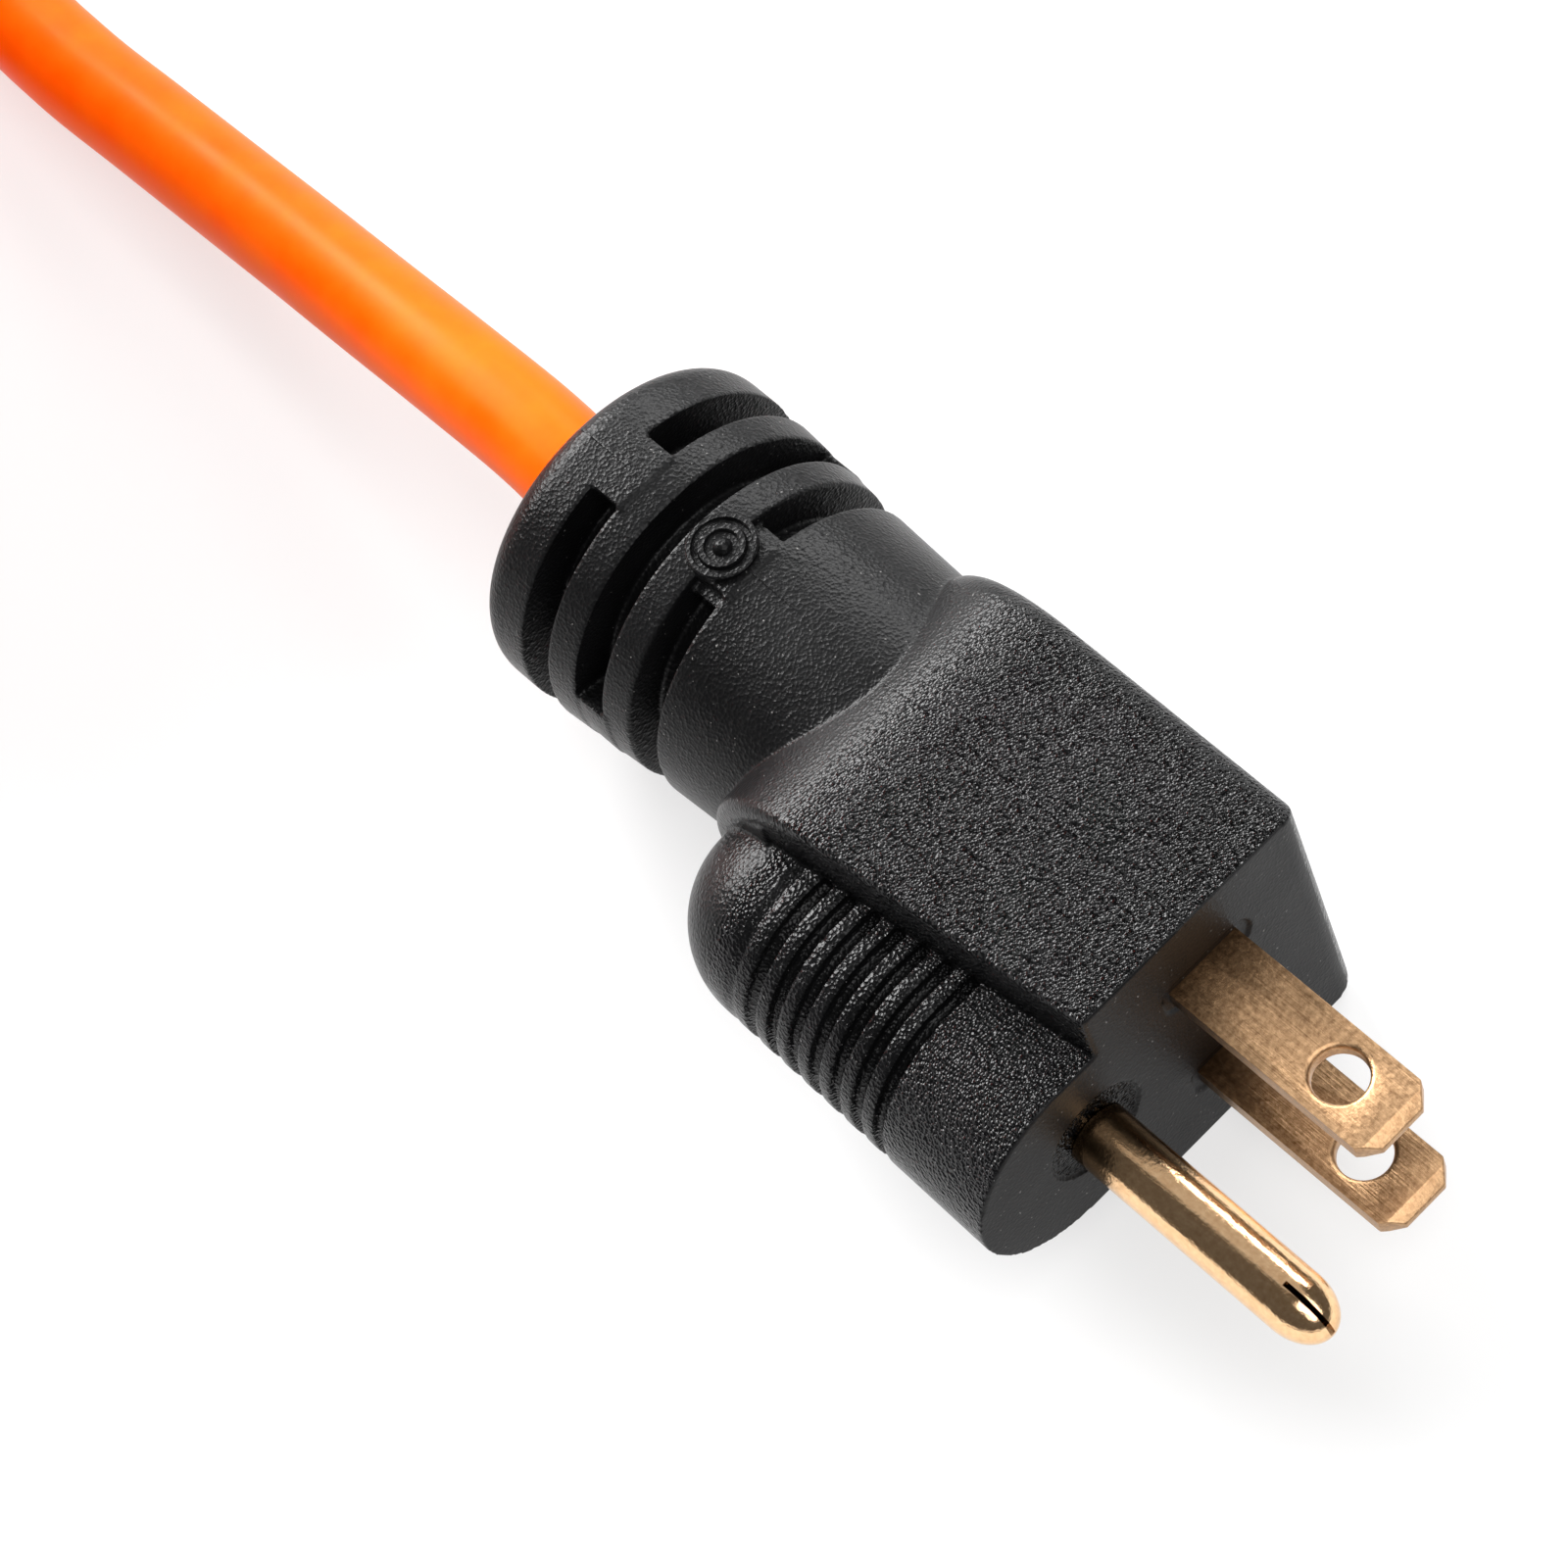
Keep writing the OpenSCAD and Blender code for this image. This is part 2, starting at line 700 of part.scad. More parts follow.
module plug_ground_strands() {
  color([0.72, 0.42, 0.26]) translate(plug_at) strands(wire_x, -pin_y, 0);
}

module plug_jacket_end() {
  color([1, 0.42, 0.02]) translate(plug_at) jacket_end(jacket_x, -plug_len);
}

// ------------------------------------------------------------------ the cord

module cord_run() {
  color([1, 0.42, 0.02])
    tube(run_path, cord_r, cord_sides, [-1, 0, 0], coil_way_in);
}

module cord_coil() {
  color([1, 0.42, 0.02])
    tube(coil_path, cord_r, coil_sides, coil_way_in, coil_way_out);
}

module cord_tail() {
  color([1, 0.42, 0.02])
    tube(tail_path, cord_r, cord_sides, coil_way_out, [1, 0, 0]);
}

// A strap once round one run of the coil, its end lapped over the outside
module coil_tie() {
  inner = coil_r_in - cord_r - rest_gap;
  outer = coil_r_out + cord_r + rest_gap;
  corner = cord_r;
  color([0.07, 0.07, 0.08])
    translate([coil_mid[0] + tie_w / 2, coil_mid[1], 0]) run_back(tie_w)
      translate([inner - tie_t, 0]) {
        difference() {
          rounded(outer - inner + 2 * tie_t, coil_top + tie_t, corner);
          translate([tie_t, tie_t])
            rounded(outer - inner, coil_top - tie_t, corner - tie_t);
        }
        translate([outer - inner + 2 * tie_t - fit, lap_low])
          square([tie_t, lap_len]);
      }
}

// ------------------------------------------------------------- the connector

block_x = -face_t - fit;
back_of_block = block_x - block_len;
conn_crimp_x = back_of_block - crimp_gap - crimp_len;
conn_wire_x = conn_crimp_x - bare_len;
conn_bend_x = conn_wire_x - wire_lead;
conn_jacket_x = -conn_len + jacket_len;
conn_line = wire_path(conn_wire_x, conn_bend_x, 0, -blade_z, neutral_slot,
                      conn_jacket_x, -conn_len);
conn_neutral = wire_path(conn_wire_x, conn_bend_x, 0, blade_z, line_slot,
                         conn_jacket_x, -conn_len);
conn_ground = wire_path(conn_wire_x, conn_bend_x, -pin_y, 0, ground_slot,
                        conn_jacket_x, -conn_len);

module at_connector() {
  translate(conn_at) children();
}

module block_solid(grow) {
  translate([block_x + grow, 0, 0]) run_back(block_len + 2 * grow)
    translate([-block_w / 2 - conn_mid - grow, -block_h / 2 - grow])
      rounded(block_w + 2 * grow, block_h + 2 * grow, bridge_round);
}

// Two spring leaves on a base, with a crimp behind
module leaf_contact(w, grow) {
  half = leaf_gap / 2 + leaf_t + grow;
  base_x = back_of_block + block_back;
  tail = conn_crimp_x + crimp_len - past;
  difference() {
    translate([base_x - leaf_t, -w / 2 - grow, -half])
      cube([leaf_len + leaf_t + grow, w + 2 * grow, 2 * half]);
    if (grow == 0)
      translate([base_x, -w, -leaf_gap / 2])
        cube([leaf_len + past, 2 * w, leaf_gap]);
  }
  translate([tail, -crimp_r - grow, -leaf_t - grow])
    cube([base_x - tail, 2 * (crimp_r + grow), 2 * (leaf_t + grow)]);
  translate([conn_crimp_x, 0, 0]) crimp(grow);
}

// A slit sleeve that grips the ground pin, with a crimp behind
module sleeve_contact(grow) {
  base_x = back_of_block + block_back;
  tail = conn_crimp_x + crimp_len - past;
  difference() {
    translate([base_x - leaf_t, 0, 0]) along_x()
      cylinder(r = sleeve_r + leaf_t + grow, h = leaf_len + leaf_t + grow);
    if (grow == 0) {
      translate([base_x, 0, 0]) along_x()
        cylinder(r = sleeve_r, h = leaf_len + past);
      for (turn = [0, 90]) rotate([turn, 0, 0])
        translate([base_x + leaf_len / 3, -nose_slit / 2, -head_h / 2])
          cube([leaf_len, nose_slit, head_h]);
    }
  }
  translate([tail, 0, 0]) along_x()
    cylinder(r = crimp_r + grow, h = base_x - leaf_t - tail);
  translate([conn_crimp_x, 0, 0]) crimp(grow);
}

// The two blade slots and the ground hole, from the face back to x = -depth
module face_openings(depth) {
  for (way = [[-1, line_slit], [1, neutral_slit]])
    translate([-depth, -way[1] / 2, way[0] * blade_z - slit_w / 2])
      cube([depth + past, way[1], slit_w]);
  translate([-depth, -pin_y, 0]) along_x()
    cylinder(r = ground_hole_r, h = depth + past);
}

module connector_body() {
  color([0.05, 0.05, 0.055]) at_connector() difference() {
    union() {
      translate([0, -conn_mid - conn_w / 2, 0])
        head_slab(conn_flat, conn_h, conn_w, conn_round, 0);
      translate([-conn_len, -neck_shift, 0]) neck(conn_len - conn_flat / 2);
    }
    for (i = [0:conn_grooves - 1], side = [-1, 1])
      translate([-conn_groove_start - i * groove_pitch - groove_w / 2,
                 -conn_mid - conn_groove_len / 2,
                 side * (conn_h / 2) - (side > 0 ? groove_d : past)])
        cube([groove_w, conn_groove_len, groove_d + past]);
    face_openings(face_t + past);
    block_solid(fit);
    translate([0, 0, blade_z]) leaf_contact(neutral_leaf_w, fit);
    translate([0, 0, -blade_z]) leaf_contact(line_leaf_w, fit);
    translate([0, -pin_y, 0]) sleeve_contact(fit);
    wires_hollow([conn_line, conn_neutral, conn_ground], conn_jacket_x,
                 -conn_len);
  }
}

module contact_block() {
  color([0.85, 0.83, 0.76]) at_connector() difference() {
    block_solid(0);
    face_openings(block_len);
    translate([0, 0, blade_z]) leaf_contact(neutral_leaf_w, fit);
    translate([0, 0, -blade_z]) leaf_contact(line_leaf_w, fit);
    translate([0, -pin_y, 0]) sleeve_contact(fit);
  }
}

module line_contact() {
  color([0.80, 0.62, 0.36]) at_connector() translate([0, 0, -blade_z])
    leaf_contact(line_leaf_w, 0);
}

module neutral_contact() {
  color([0.80, 0.62, 0.36]) at_connector() translate([0, 0, blade_z])
    leaf_contact(neutral_leaf_w, 0);
}

module ground_contact() {
  color([0.80, 0.62, 0.36]) at_connector() translate([0, -pin_y, 0])
    sleeve_contact(0);
}

module connector_line_lead() {
  color([0.08, 0.08, 0.08]) at_connector() wire(conn_line);
}

module connector_neutral_lead() {
  color([0.90, 0.90, 0.88]) at_connector() wire(conn_neutral);
}

module connector_ground_lead() {
  color([0.10, 0.42, 0.18]) at_connector() wire(conn_ground);
}

module connector_line_strands() {
  color([0.72, 0.42, 0.26]) at_connector() strands(conn_wire_x, 0, -blade_z);
}

module connector_neutral_strands() {
  color([0.72, 0.42, 0.26]) at_connector() strands(conn_wire_x, 0, blade_z);
}

module connector_ground_strands() {
  color([0.72, 0.42, 0.26]) at_connector() strands(conn_wire_x, -pin_y, 0);
}

module connector_jacket_end() {
  color([1, 0.42, 0.02]) at_connector() jacket_end(conn_jacket_x, -conn_len);
}

plug_body();
blade_bridge();
line_blade();
neutral_blade();
ground_pin();
plug_line_lead();
plug_neutral_lead();
plug_ground_lead();
plug_line_strands();
plug_neutral_strands();
plug_ground_strands();
plug_jacket_end();
cord_run();
cord_coil();
cord_tail();
coil_tie();
connector_body();
contact_block();
line_contact();
neutral_contact();
ground_contact();
connector_line_lead();
connector_neutral_lead();
connector_ground_lead();
connector_line_strands();
connector_neutral_strands();
connector_ground_strands();
connector_jacket_end();
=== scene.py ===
"""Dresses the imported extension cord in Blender: plug, cord, coil tie and connector.

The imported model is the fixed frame. Every piece made here takes its place from it,
is modelled in millimetres on a bench at the world's origin, and is then set down in
the frame's metres.
"""

import logging
import math
from contextlib import contextmanager
from dataclasses import dataclass
from enum import Enum
from typing import Callable, Iterator, Sequence

import bmesh
import bpy
from mathutils import Matrix, Vector


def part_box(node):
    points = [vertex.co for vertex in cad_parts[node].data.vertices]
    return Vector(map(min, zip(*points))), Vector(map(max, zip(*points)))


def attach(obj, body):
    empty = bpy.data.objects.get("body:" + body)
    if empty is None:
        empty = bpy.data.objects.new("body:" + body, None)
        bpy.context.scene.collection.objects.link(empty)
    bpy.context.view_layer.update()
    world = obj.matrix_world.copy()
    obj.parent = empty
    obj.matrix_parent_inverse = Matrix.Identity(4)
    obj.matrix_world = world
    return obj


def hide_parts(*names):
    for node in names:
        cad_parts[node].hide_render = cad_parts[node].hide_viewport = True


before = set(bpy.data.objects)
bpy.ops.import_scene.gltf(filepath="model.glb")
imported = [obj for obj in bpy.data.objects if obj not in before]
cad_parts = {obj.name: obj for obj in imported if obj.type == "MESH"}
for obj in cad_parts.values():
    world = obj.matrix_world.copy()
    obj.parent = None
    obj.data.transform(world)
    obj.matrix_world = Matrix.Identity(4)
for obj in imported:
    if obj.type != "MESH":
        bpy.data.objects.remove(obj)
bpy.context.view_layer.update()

MM = 0.001
BODY = "root"
log = logging.getLogger("extension_cord")

Point = tuple[float, float, float]


# --------------------------------------------------------------------- the bench


class Element(Enum):
    """What a selection in edit mode is made of."""

    VERT = "verts"
    EDGE = "edges"
    FACE = "faces"


def leave_all() -> None:
    """Deselects every object."""
    bpy.ops.object.select_all(action="DESELECT")


def hold(piece: bpy.types.Object) -> None:
    """Selects one piece alone and makes it the active one.

    Args:
        piece: The piece.
    """
    leave_all()
    piece.select_set(True)
    bpy.context.view_layer.objects.active = piece


@contextmanager
def editing(piece: bpy.types.Object) -> Iterator[None]:
    """Opens edit mode on one piece with nothing selected.

    Args:
        piece: The mesh to edit.
    """
    hold(piece)
    bpy.ops.object.mode_set(mode="EDIT")
    bpy.ops.mesh.select_all(action="DESELECT")
    yield
    bpy.ops.object.mode_set(mode="OBJECT")


def pick(piece: bpy.types.Object, kind: Element, test: Callable) -> int:
    """Selects the elements of the edited piece that pass a test, and no others.

    Args:
        piece: The piece that is in edit mode.
        kind: Whether vertices, edges or faces are tested.
        test: Takes one bmesh element and says whether it is wanted.

    Returns:
        How many elements were selected.
    """
    bpy.ops.mesh.select_mode(type=kind.name)
    bpy.ops.mesh.select_all(action="DESELECT")
    mesh = bmesh.from_edit_mesh(piece.data)
    wanted = [item for item in getattr(mesh, kind.value) if test(item)]
    for item in wanted:
        item.select_set(True)
    mesh.select_flush_mode()
    bmesh.update_edit_mesh(piece.data)
    return len(wanted)


def apply(piece: bpy.types.Object, kind: str, **settings: object) -> None:
    """Adds one modifier to a piece and applies it.

    Args:
        piece: The piece to change.
        kind: The modifier's type, such as "REMESH".
        **settings: The modifier's own settings.
    """
    hold(piece)
    modifier = piece.modifiers.new(kind.lower(), kind)
    for name, value in settings.items():
        setattr(modifier, name, value)
    bpy.ops.object.modifier_apply(modifier=modifier.name)


def gather(pieces: Sequence[bpy.types.Object], name: str) -> bpy.types.Object:
    """Joins pieces into one object, as separate shells.

    Args:
        pieces: The pieces, of which the first stays.
        name: The name of the result.

    Returns:
        The joined object.
    """
    leave_all()
    for piece in pieces:
        piece.select_set(True)
    bpy.context.view_layer.objects.active = pieces[0]
    bpy.ops.object.join()
    pieces[0].name = name
    return pieces[0]


def block(low: Point, high: Point) -> bpy.types.Object:
    """A box between two corners.

    Args:
        low: Its lowest corner.
        high: Its highest corner.

    Returns:
        The new piece.
    """
    bpy.ops.mesh.primitive_cube_add(size=1)
    piece = bpy.context.object
    size = Vector(high) - Vector(low)
    piece.data.transform(Matrix.Translation((Vector(high) + Vector(low)) / 2)
                         @ Matrix.Diagonal(size).to_4x4())
    return piece


def turned(radius: float, start: float, end: float, end_radius: float | None = None,
           sides: int = 96) -> bpy.types.Object:
    """A cylinder or cone along the X axis.

    Args:
        radius: Its radius at start.
        start: Where it starts on the axis.
        end: Where it ends on the axis.
        end_radius: Its radius at the end, if that differs.
        sides: How many sides it has.

    Returns:
        The new piece.
    """
    bpy.ops.mesh.primitive_cone_add(
        vertices=sides, radius1=radius,
        radius2=radius if end_radius is None else end_radius, depth=end - start)
    piece = bpy.context.object
    piece.data.transform(Matrix.Translation(((start + end) / 2, 0, 0))
                         @ Matrix.Rotation(math.pi / 2, 4, "Y"))
    return piece


def across(radius: float, start: float, end: float, at: float,
           sides: int = 96) -> bpy.types.Object:
    """A cylinder along the Y axis.

    Args:
        radius: Its radius.
        start: Where it starts along Y.
        end: Where it ends along Y.
        at: Where its axis lies along X.
        sides: How many sides it has.

    Returns:
        The new piece.
    """
    piece = turned(radius, start, end, sides=sides)
    piece.data.transform(Matrix.Translation((at, 0, 0))
                         @ Matrix.Rotation(math.pi / 2, 4, "Z"))
    return piece


def move(piece: bpy.types.Object, by: Point) -> bpy.types.Object:
    """Moves a piece's mesh and gives the piece back."""
    piece.data.transform(Matrix.Translation(by))
    return piece


def drawn(name: str, points: Sequence[Point], edges: Sequence[tuple[int, int]],
          faces: Sequence[tuple[int, ...]]) -> bpy.types.Object:
    """A piece from its points, and the edges or faces between them.

    Args:
        name: Its name.
        points: Its points.
        edges: Pairs of points, where there are no faces.
        faces: The points round each face.

    Returns:
        The new piece.
    """
    mesh = bpy.data.meshes.new(name)
    mesh.from_pydata(points, edges, faces)
    piece = bpy.data.objects.new(name, mesh)
    bpy.context.scene.collection.objects.link(piece)
    return piece


def face_out() -> None:
    """Turns every face of the edited piece outwards."""
    bpy.ops.mesh.select_all(action="SELECT")
    bpy.ops.mesh.normals_make_consistent(inside=False)


def trim(piece: bpy.types.Object, at: Point, normal: Point,
         grow: Point | None = None) -> None:
    """Cuts off what lies past a plane, and closes the cut.

    Args:
        piece: The piece.
        at: A point on the plane.
        normal: The plane's normal, which points away from what stays.
        grow: How far the closed cut is then drawn out, if it is.
    """
    with editing(piece):
        bpy.ops.mesh.select_all(action="SELECT")
        bpy.ops.mesh.bisect(plane_co=at, plane_no=normal, use_fill=True,
                            clear_outer=True)
        if grow is not None:
            bpy.ops.mesh.extrude_region_move(TRANSFORM_OT_translate={"value": grow})


def stadium(length: float, width: float, start: float, end: float,
            at: tuple[float, float]) -> bpy.types.Object:
    """A bar along the X axis whose outline is a stadium, long along Y.

    Args:
        length: The outline's length.
        width: The outline's width.
        start: Where the bar starts on X.
        end: Where it ends on X.
        at: Its middle's Y and Z.

    Returns:
        The new piece.
    """
    piece = turned(width / 2, start, end, sides=48)
    for side in (-1, 1):
        with editing(piece):
            pick(piece, Element.VERT, lambda v: v.co.y * side > 0.01)
            bpy.ops.transform.translate(value=(0, side * (length - width) / 2, 0))
    return move(piece, (0, *at))


def cut(pieces: Sequence[bpy.types.Object], cutter: bpy.types.Object) -> None:
    """Cuts one shape out of several pieces.

    Args:
        pieces: The pieces.
        cutter: The shape, which is removed afterwards.
    """
    for piece in pieces:
        apply(piece, "BOOLEAN", operation="DIFFERENCE", object=cutter, solver="EXACT")
    bpy.data.objects.remove(cutter)


def spun(profile: Sequence[tuple[float, float]], sweep: float = 360.0,
         start: float = 0.0, steps: int = 96) -> bpy.types.Object:
    """Spins a closed outline round the X axis.

    Args:
        profile: The outline's corners, each a place on the axis and a radius.
        sweep: How far it is spun, in degrees.
        start: The angle at which it starts, turning from +Y towards +Z.
        steps: How many steps the spin takes.

    Returns:
        A closed solid.
    """
    count = len(profile)
    piece = drawn("outline", [(x, r, 0) for x, r in profile],
                  [(i, (i + 1) % count) for i in range(count)], [])
    piece.data.transform(Matrix.Rotation(math.radians(start), 4, "X"))
    with editing(piece):
        bpy.ops.mesh.select_all(action="SELECT")
        bpy.ops.mesh.spin(steps=steps, angle=math.radians(sweep), center=(0, 0, 0),
                          axis=(-1, 0, 0))
        bpy.ops.mesh.select_all(action="SELECT")
        bpy.ops.mesh.remove_doubles(threshold=1e-4)
        if sweep < 360:
            bpy.ops.mesh.select_all(action="SELECT")
            bpy.ops.mesh.fill_holes(sides=0)
        face_out()
    return piece


def soften(piece: bpy.types.Object, voxel: float, passes: int, triangles: int) -> None:
    """Fuses a piece's shells and rounds every edge, as a moulding's edges are.

    Args:
        piece: Overlapping closed shells in one object.
        voxel: The size of a voxel, which sets the rounding.
        passes: How often the surface is smoothed.
        triangles: The most triangles that may stay.
    """
    apply(piece, "REMESH", mode="VOXEL", voxel_size=voxel, adaptivity=0.0)
    apply(piece, "SMOOTH", factor=0.5, iterations=passes)
    faces = 2 * len(piece.data.polygons)
    if faces > triangles:
        apply(piece, "DECIMATE", decimate_type="COLLAPSE", ratio=triangles / faces)


def bevel(piece: bpy.types.Object, width: Callable[[bmesh.types.BMEdge], float],
          segments: int, clamp: bool = True) -> None:
    """Rounds a piece's edges, each by its own width.

    Args:
        piece: The piece.
        width: Takes an edge and gives its width, or 0 where it stays as it is.
        segments: How many faces each rounding has.
        clamp: Whether roundings are kept from running into each other.
    """
    with editing(piece):
        mesh = bmesh.from_edit_mesh(piece.data)
        layers = mesh.edges.layers.float
        weight = layers.get("bevel_weight_edge") or layers.new("bevel_weight_edge")
        widths = [width(edge) for edge in mesh.edges]
        largest = max(widths)
        for edge, own in zip(mesh.edges, widths):
            edge[weight] = own / largest
        bmesh.update_edit_mesh(piece.data)
    apply(piece, "BEVEL", limit_method="WEIGHT", width=largest, segments=segments,
          use_clamp_overlap=clamp)


def set_down(piece: bpy.types.Object, name: str, place: Matrix, finish: "Finish",
             slot: str, angle: float = 35.0) -> bpy.types.Object:
    """Puts a piece from the bench in its place in the frame, and dresses it.

    Args:
        piece: The piece, in millimetres at the bench.
        name: Its name.
        place: From the bench's millimetres to the frame's metres.
        finish: Its finish.
        slot: The record's material slot that the finish belongs to; it is not used.
        angle: Edges sharper than this stay sharp, in degrees.

    Returns:
        The piece.
    """
    piece.name = name
    piece.data.transform(place)
    piece.data.materials.clear()
    piece.data.materials.append(finish.material())
    hold(piece)
    bpy.ops.object.shade_smooth_by_angle(angle=math.radians(angle))
    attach(piece, BODY)
    log.info("%s: %d faces", name, len(piece.data.polygons))
    return piece


def ease(start: float, end: float, at: float) -> float:
    """Rises smoothly from 0 at start to 1 at end."""
    share = min(max((at - start) / (end - start), 0.0), 1.0)
    return share * share * (3 - 2 * share)


# ---------------------------------------------------------------------- finishes


class Nodes:
    """One material's node tree, with short ways to add to it."""

    def __init__(self, name: str) -> None:
        """Starts a material with a bare Principled shader.

        Args:
            name: The material's name.
        """
        self.material = bpy.data.materials.new(name)
        self.material.use_nodes = True
        self.tree = self.material.node_tree
        self.shader = self.tree.nodes["Principled BSDF"]

    def feed(self, socket: bpy.types.NodeSocket, value: object) -> None:
        """Links an input to another node's output, or sets its value.

        Args:
            socket: The input.
            value: An output, or a plain value.
        """
        if isinstance(value, bpy.types.NodeSocket):
            self.tree.links.new(value, socket)
        else:
            socket.default_value = value

    def add(self, kind: str, **values: object) -> bpy.types.Node:
        """Adds a node.

        Args:
            kind: The node's type, without its ShaderNode prefix.
            **values: Settings of the node, or values of its inputs, where an
                input's name has _ for each space.

        Returns:
            The node.
        """
        node = self.tree.nodes.new("ShaderNode" + kind)
        for name, value in values.items():
            if hasattr(node, name):
                setattr(node, name, value)
            else:
                self.feed(node.inputs[name.replace("_", " ")], value)
        return node

    def set(self, **values: object) -> None:
        """Sets or links the Principled shader's inputs, as add does."""
        for name, value in values.items():
            self.feed(self.shader.inputs[name.replace("_", " ")], value)

    def place(self, scale: Point = (1, 1, 1), uv: bool = False) -> bpy.types.NodeSocket:
        """The point that is shaded, in the piece's own space or on its UV map."""
        source = self.add("TexCoord").outputs["UV" if uv else "Object"]
        return self.add("Mapping", Vector=source, Scale=scale).outputs[0]

    def noise(self, at: bpy.types.NodeSocket, scale: float, detail: float = 3.0,
              roughness: float = 0.5) -> bpy.types.NodeSocket:
        """Smooth noise from about 0.3 to 0.7, with scale features a metre."""
        return self.add("TexNoise", Vector=at, Scale=scale, Detail=detail,
                        Roughness=roughness).outputs["Fac"]

    def ramp(self, value: bpy.types.NodeSocket, low: float, high: float,
             to_low: float = 0.0, to_high: float = 1.0) -> bpy.types.NodeSocket:
        """Stretches a value from one range to another, and clamps it there."""
        return self.add("MapRange", Value=value, From_Min=low, From_Max=high,
                        To_Min=to_low, To_Max=to_high).outputs["Result"]

    def mix(self, share: bpy.types.NodeSocket, first: object,
            second: object) -> bpy.types.NodeSocket:
        """Mixes two colours.

        Args:
            share: The second colour's share, from 0 to 1.
            first: Three numbers, or a socket.
            second: Three numbers, or a socket.

        Returns:
            The mixed colour.
        """
        node = self.add("Mix", data_type="RGBA")
        self.feed(node.inputs[0], share)
        for socket, colour in ((node.inputs[6], first), (node.inputs[7], second)):
            plain = isinstance(colour, tuple)
            self.feed(socket, (*colour, 1.0) if plain else colour)
        return node.outputs[2]

    def math(self, what: str, first: object, second: object) -> bpy.types.NodeSocket:
        """Reckons with two values.

        Args:
            what: The operation, such as "ADD".
            first: A number or a socket.
            second: A number or a socket.

        Returns:
            The result.
        """
        node = self.add("Math", operation=what)
        self.feed(node.inputs[0], first)
        self.feed(node.inputs[1], second)
        return node.outputs[0]

    def bump(self, height: bpy.types.NodeSocket, depth: float, strength: object = 1.0,
             under: bpy.types.NodeSocket | None = None) -> bpy.types.NodeSocket:
        """Turns a height from 0 to 1 into a normal.

        Args:
            height: The height.
            depth: How deep a height of 1 is, in metres.
            strength: A number or a socket from 0 to 1.
            under: A normal that this one lies on.

        Returns:
            The normal.
        """
        node = self.add("Bump", Height=height, Distance=depth, Strength=strength)
        if under is not None:
            self.feed(node.inputs["Normal"], under)
        return node.outputs[0]


@dataclass(frozen=True)
class Finish:
    """What every finish has.

    Attributes:
        name: The name under which its material is made, once.
    """

    name: str

    def material(self) -> bpy.types.Material:
        """The finish's material, which is made when it is first asked for."""
        label = self.name + "_finish"
        return bpy.data.materials.get(label) or self.build(Nodes(label))

    def build(self, nodes: Nodes) -> bpy.types.Material:
        """Wires the material.

        Args:
            nodes: The bare material.

        Returns:
            The material.
        """
        raise NotImplementedError


@dataclass(frozen=True)
class MouldedBlack(Finish):
    """Black PVC from a spark-eroded mould, with pale specks painted in its grain as
    glints.

    Attributes:
        grain: How many pits there are to a metre.
        coarse: How deep the pits are where the grain is strongest, in metres.
        fine: How deep the fine skin is, in metres.
        deep: The plastic's colour.
        handled: Its colour where it is worn.
        glint_speck: The colour of the pale specks, which are painted glints of the
            grain's facets.
        face_rough: The roughness where there is next to no grain.
        grain_rough: The roughness between the pits of the grain.
        gloss: The specular level.
    """

    grain: float = 3700.0
    coarse: float = 0.00034
    fine: float = 0.000012
    deep: Point = (0.0028, 0.0028, 0.0030)
    handled: Point = (0.0045, 0.0045, 0.0048)
    glint_speck: Point = (0.16, 0.155, 0.15)
    face_rough: float = 0.44
    grain_rough: float = 0.11
    gloss: float = 0.17

    def build(self, nodes: Nodes) -> bpy.types.Material:
        """Wires the material, whose grain follows the "grain" attribute.

        Args:
            nodes: The bare material.

        Returns:
            The material.
        """
        at = nodes.place()
        share = nodes.add("Attribute", attribute_name="grain").outputs["Fac"]
        cells = nodes.add("TexVoronoi", Vector=at, Scale=self.grain).outputs["Distance"]
        cloud = nodes.noise(at, self.grain * 0.7, 2.0)
        pits = nodes.math("MULTIPLY", nodes.math("MULTIPLY", cells, cells), cloud)
        skin = nodes.noise(at, self.grain * 2.2, 2.0, 0.6)
        worn = nodes.noise(at, 160.0, 3.0)
        fine = nodes.bump(skin, self.fine)
        normal = nodes.bump(pits, self.coarse, share, fine)
        # Pale specks painted into the colour stand in for glints off the grain's facets.
        specks = nodes.ramp(nodes.noise(at, 4600.0, 0.0), 0.82, 0.86)
        base = nodes.mix(nodes.ramp(worn, 0.35, 0.65), self.deep, self.handled)
        matt = nodes.math(
            "ADD", nodes.ramp(share, 0.1, 0.6, self.face_rough, self.grain_rough),
            nodes.ramp(worn, 0.3, 0.7, 0.0, 0.06))
        nodes.set(Base_Color=nodes.mix(specks, base, self.glint_speck), Roughness=matt,
                  Normal=normal, Specular_IOR_Level=self.gloss)
        return nodes.material


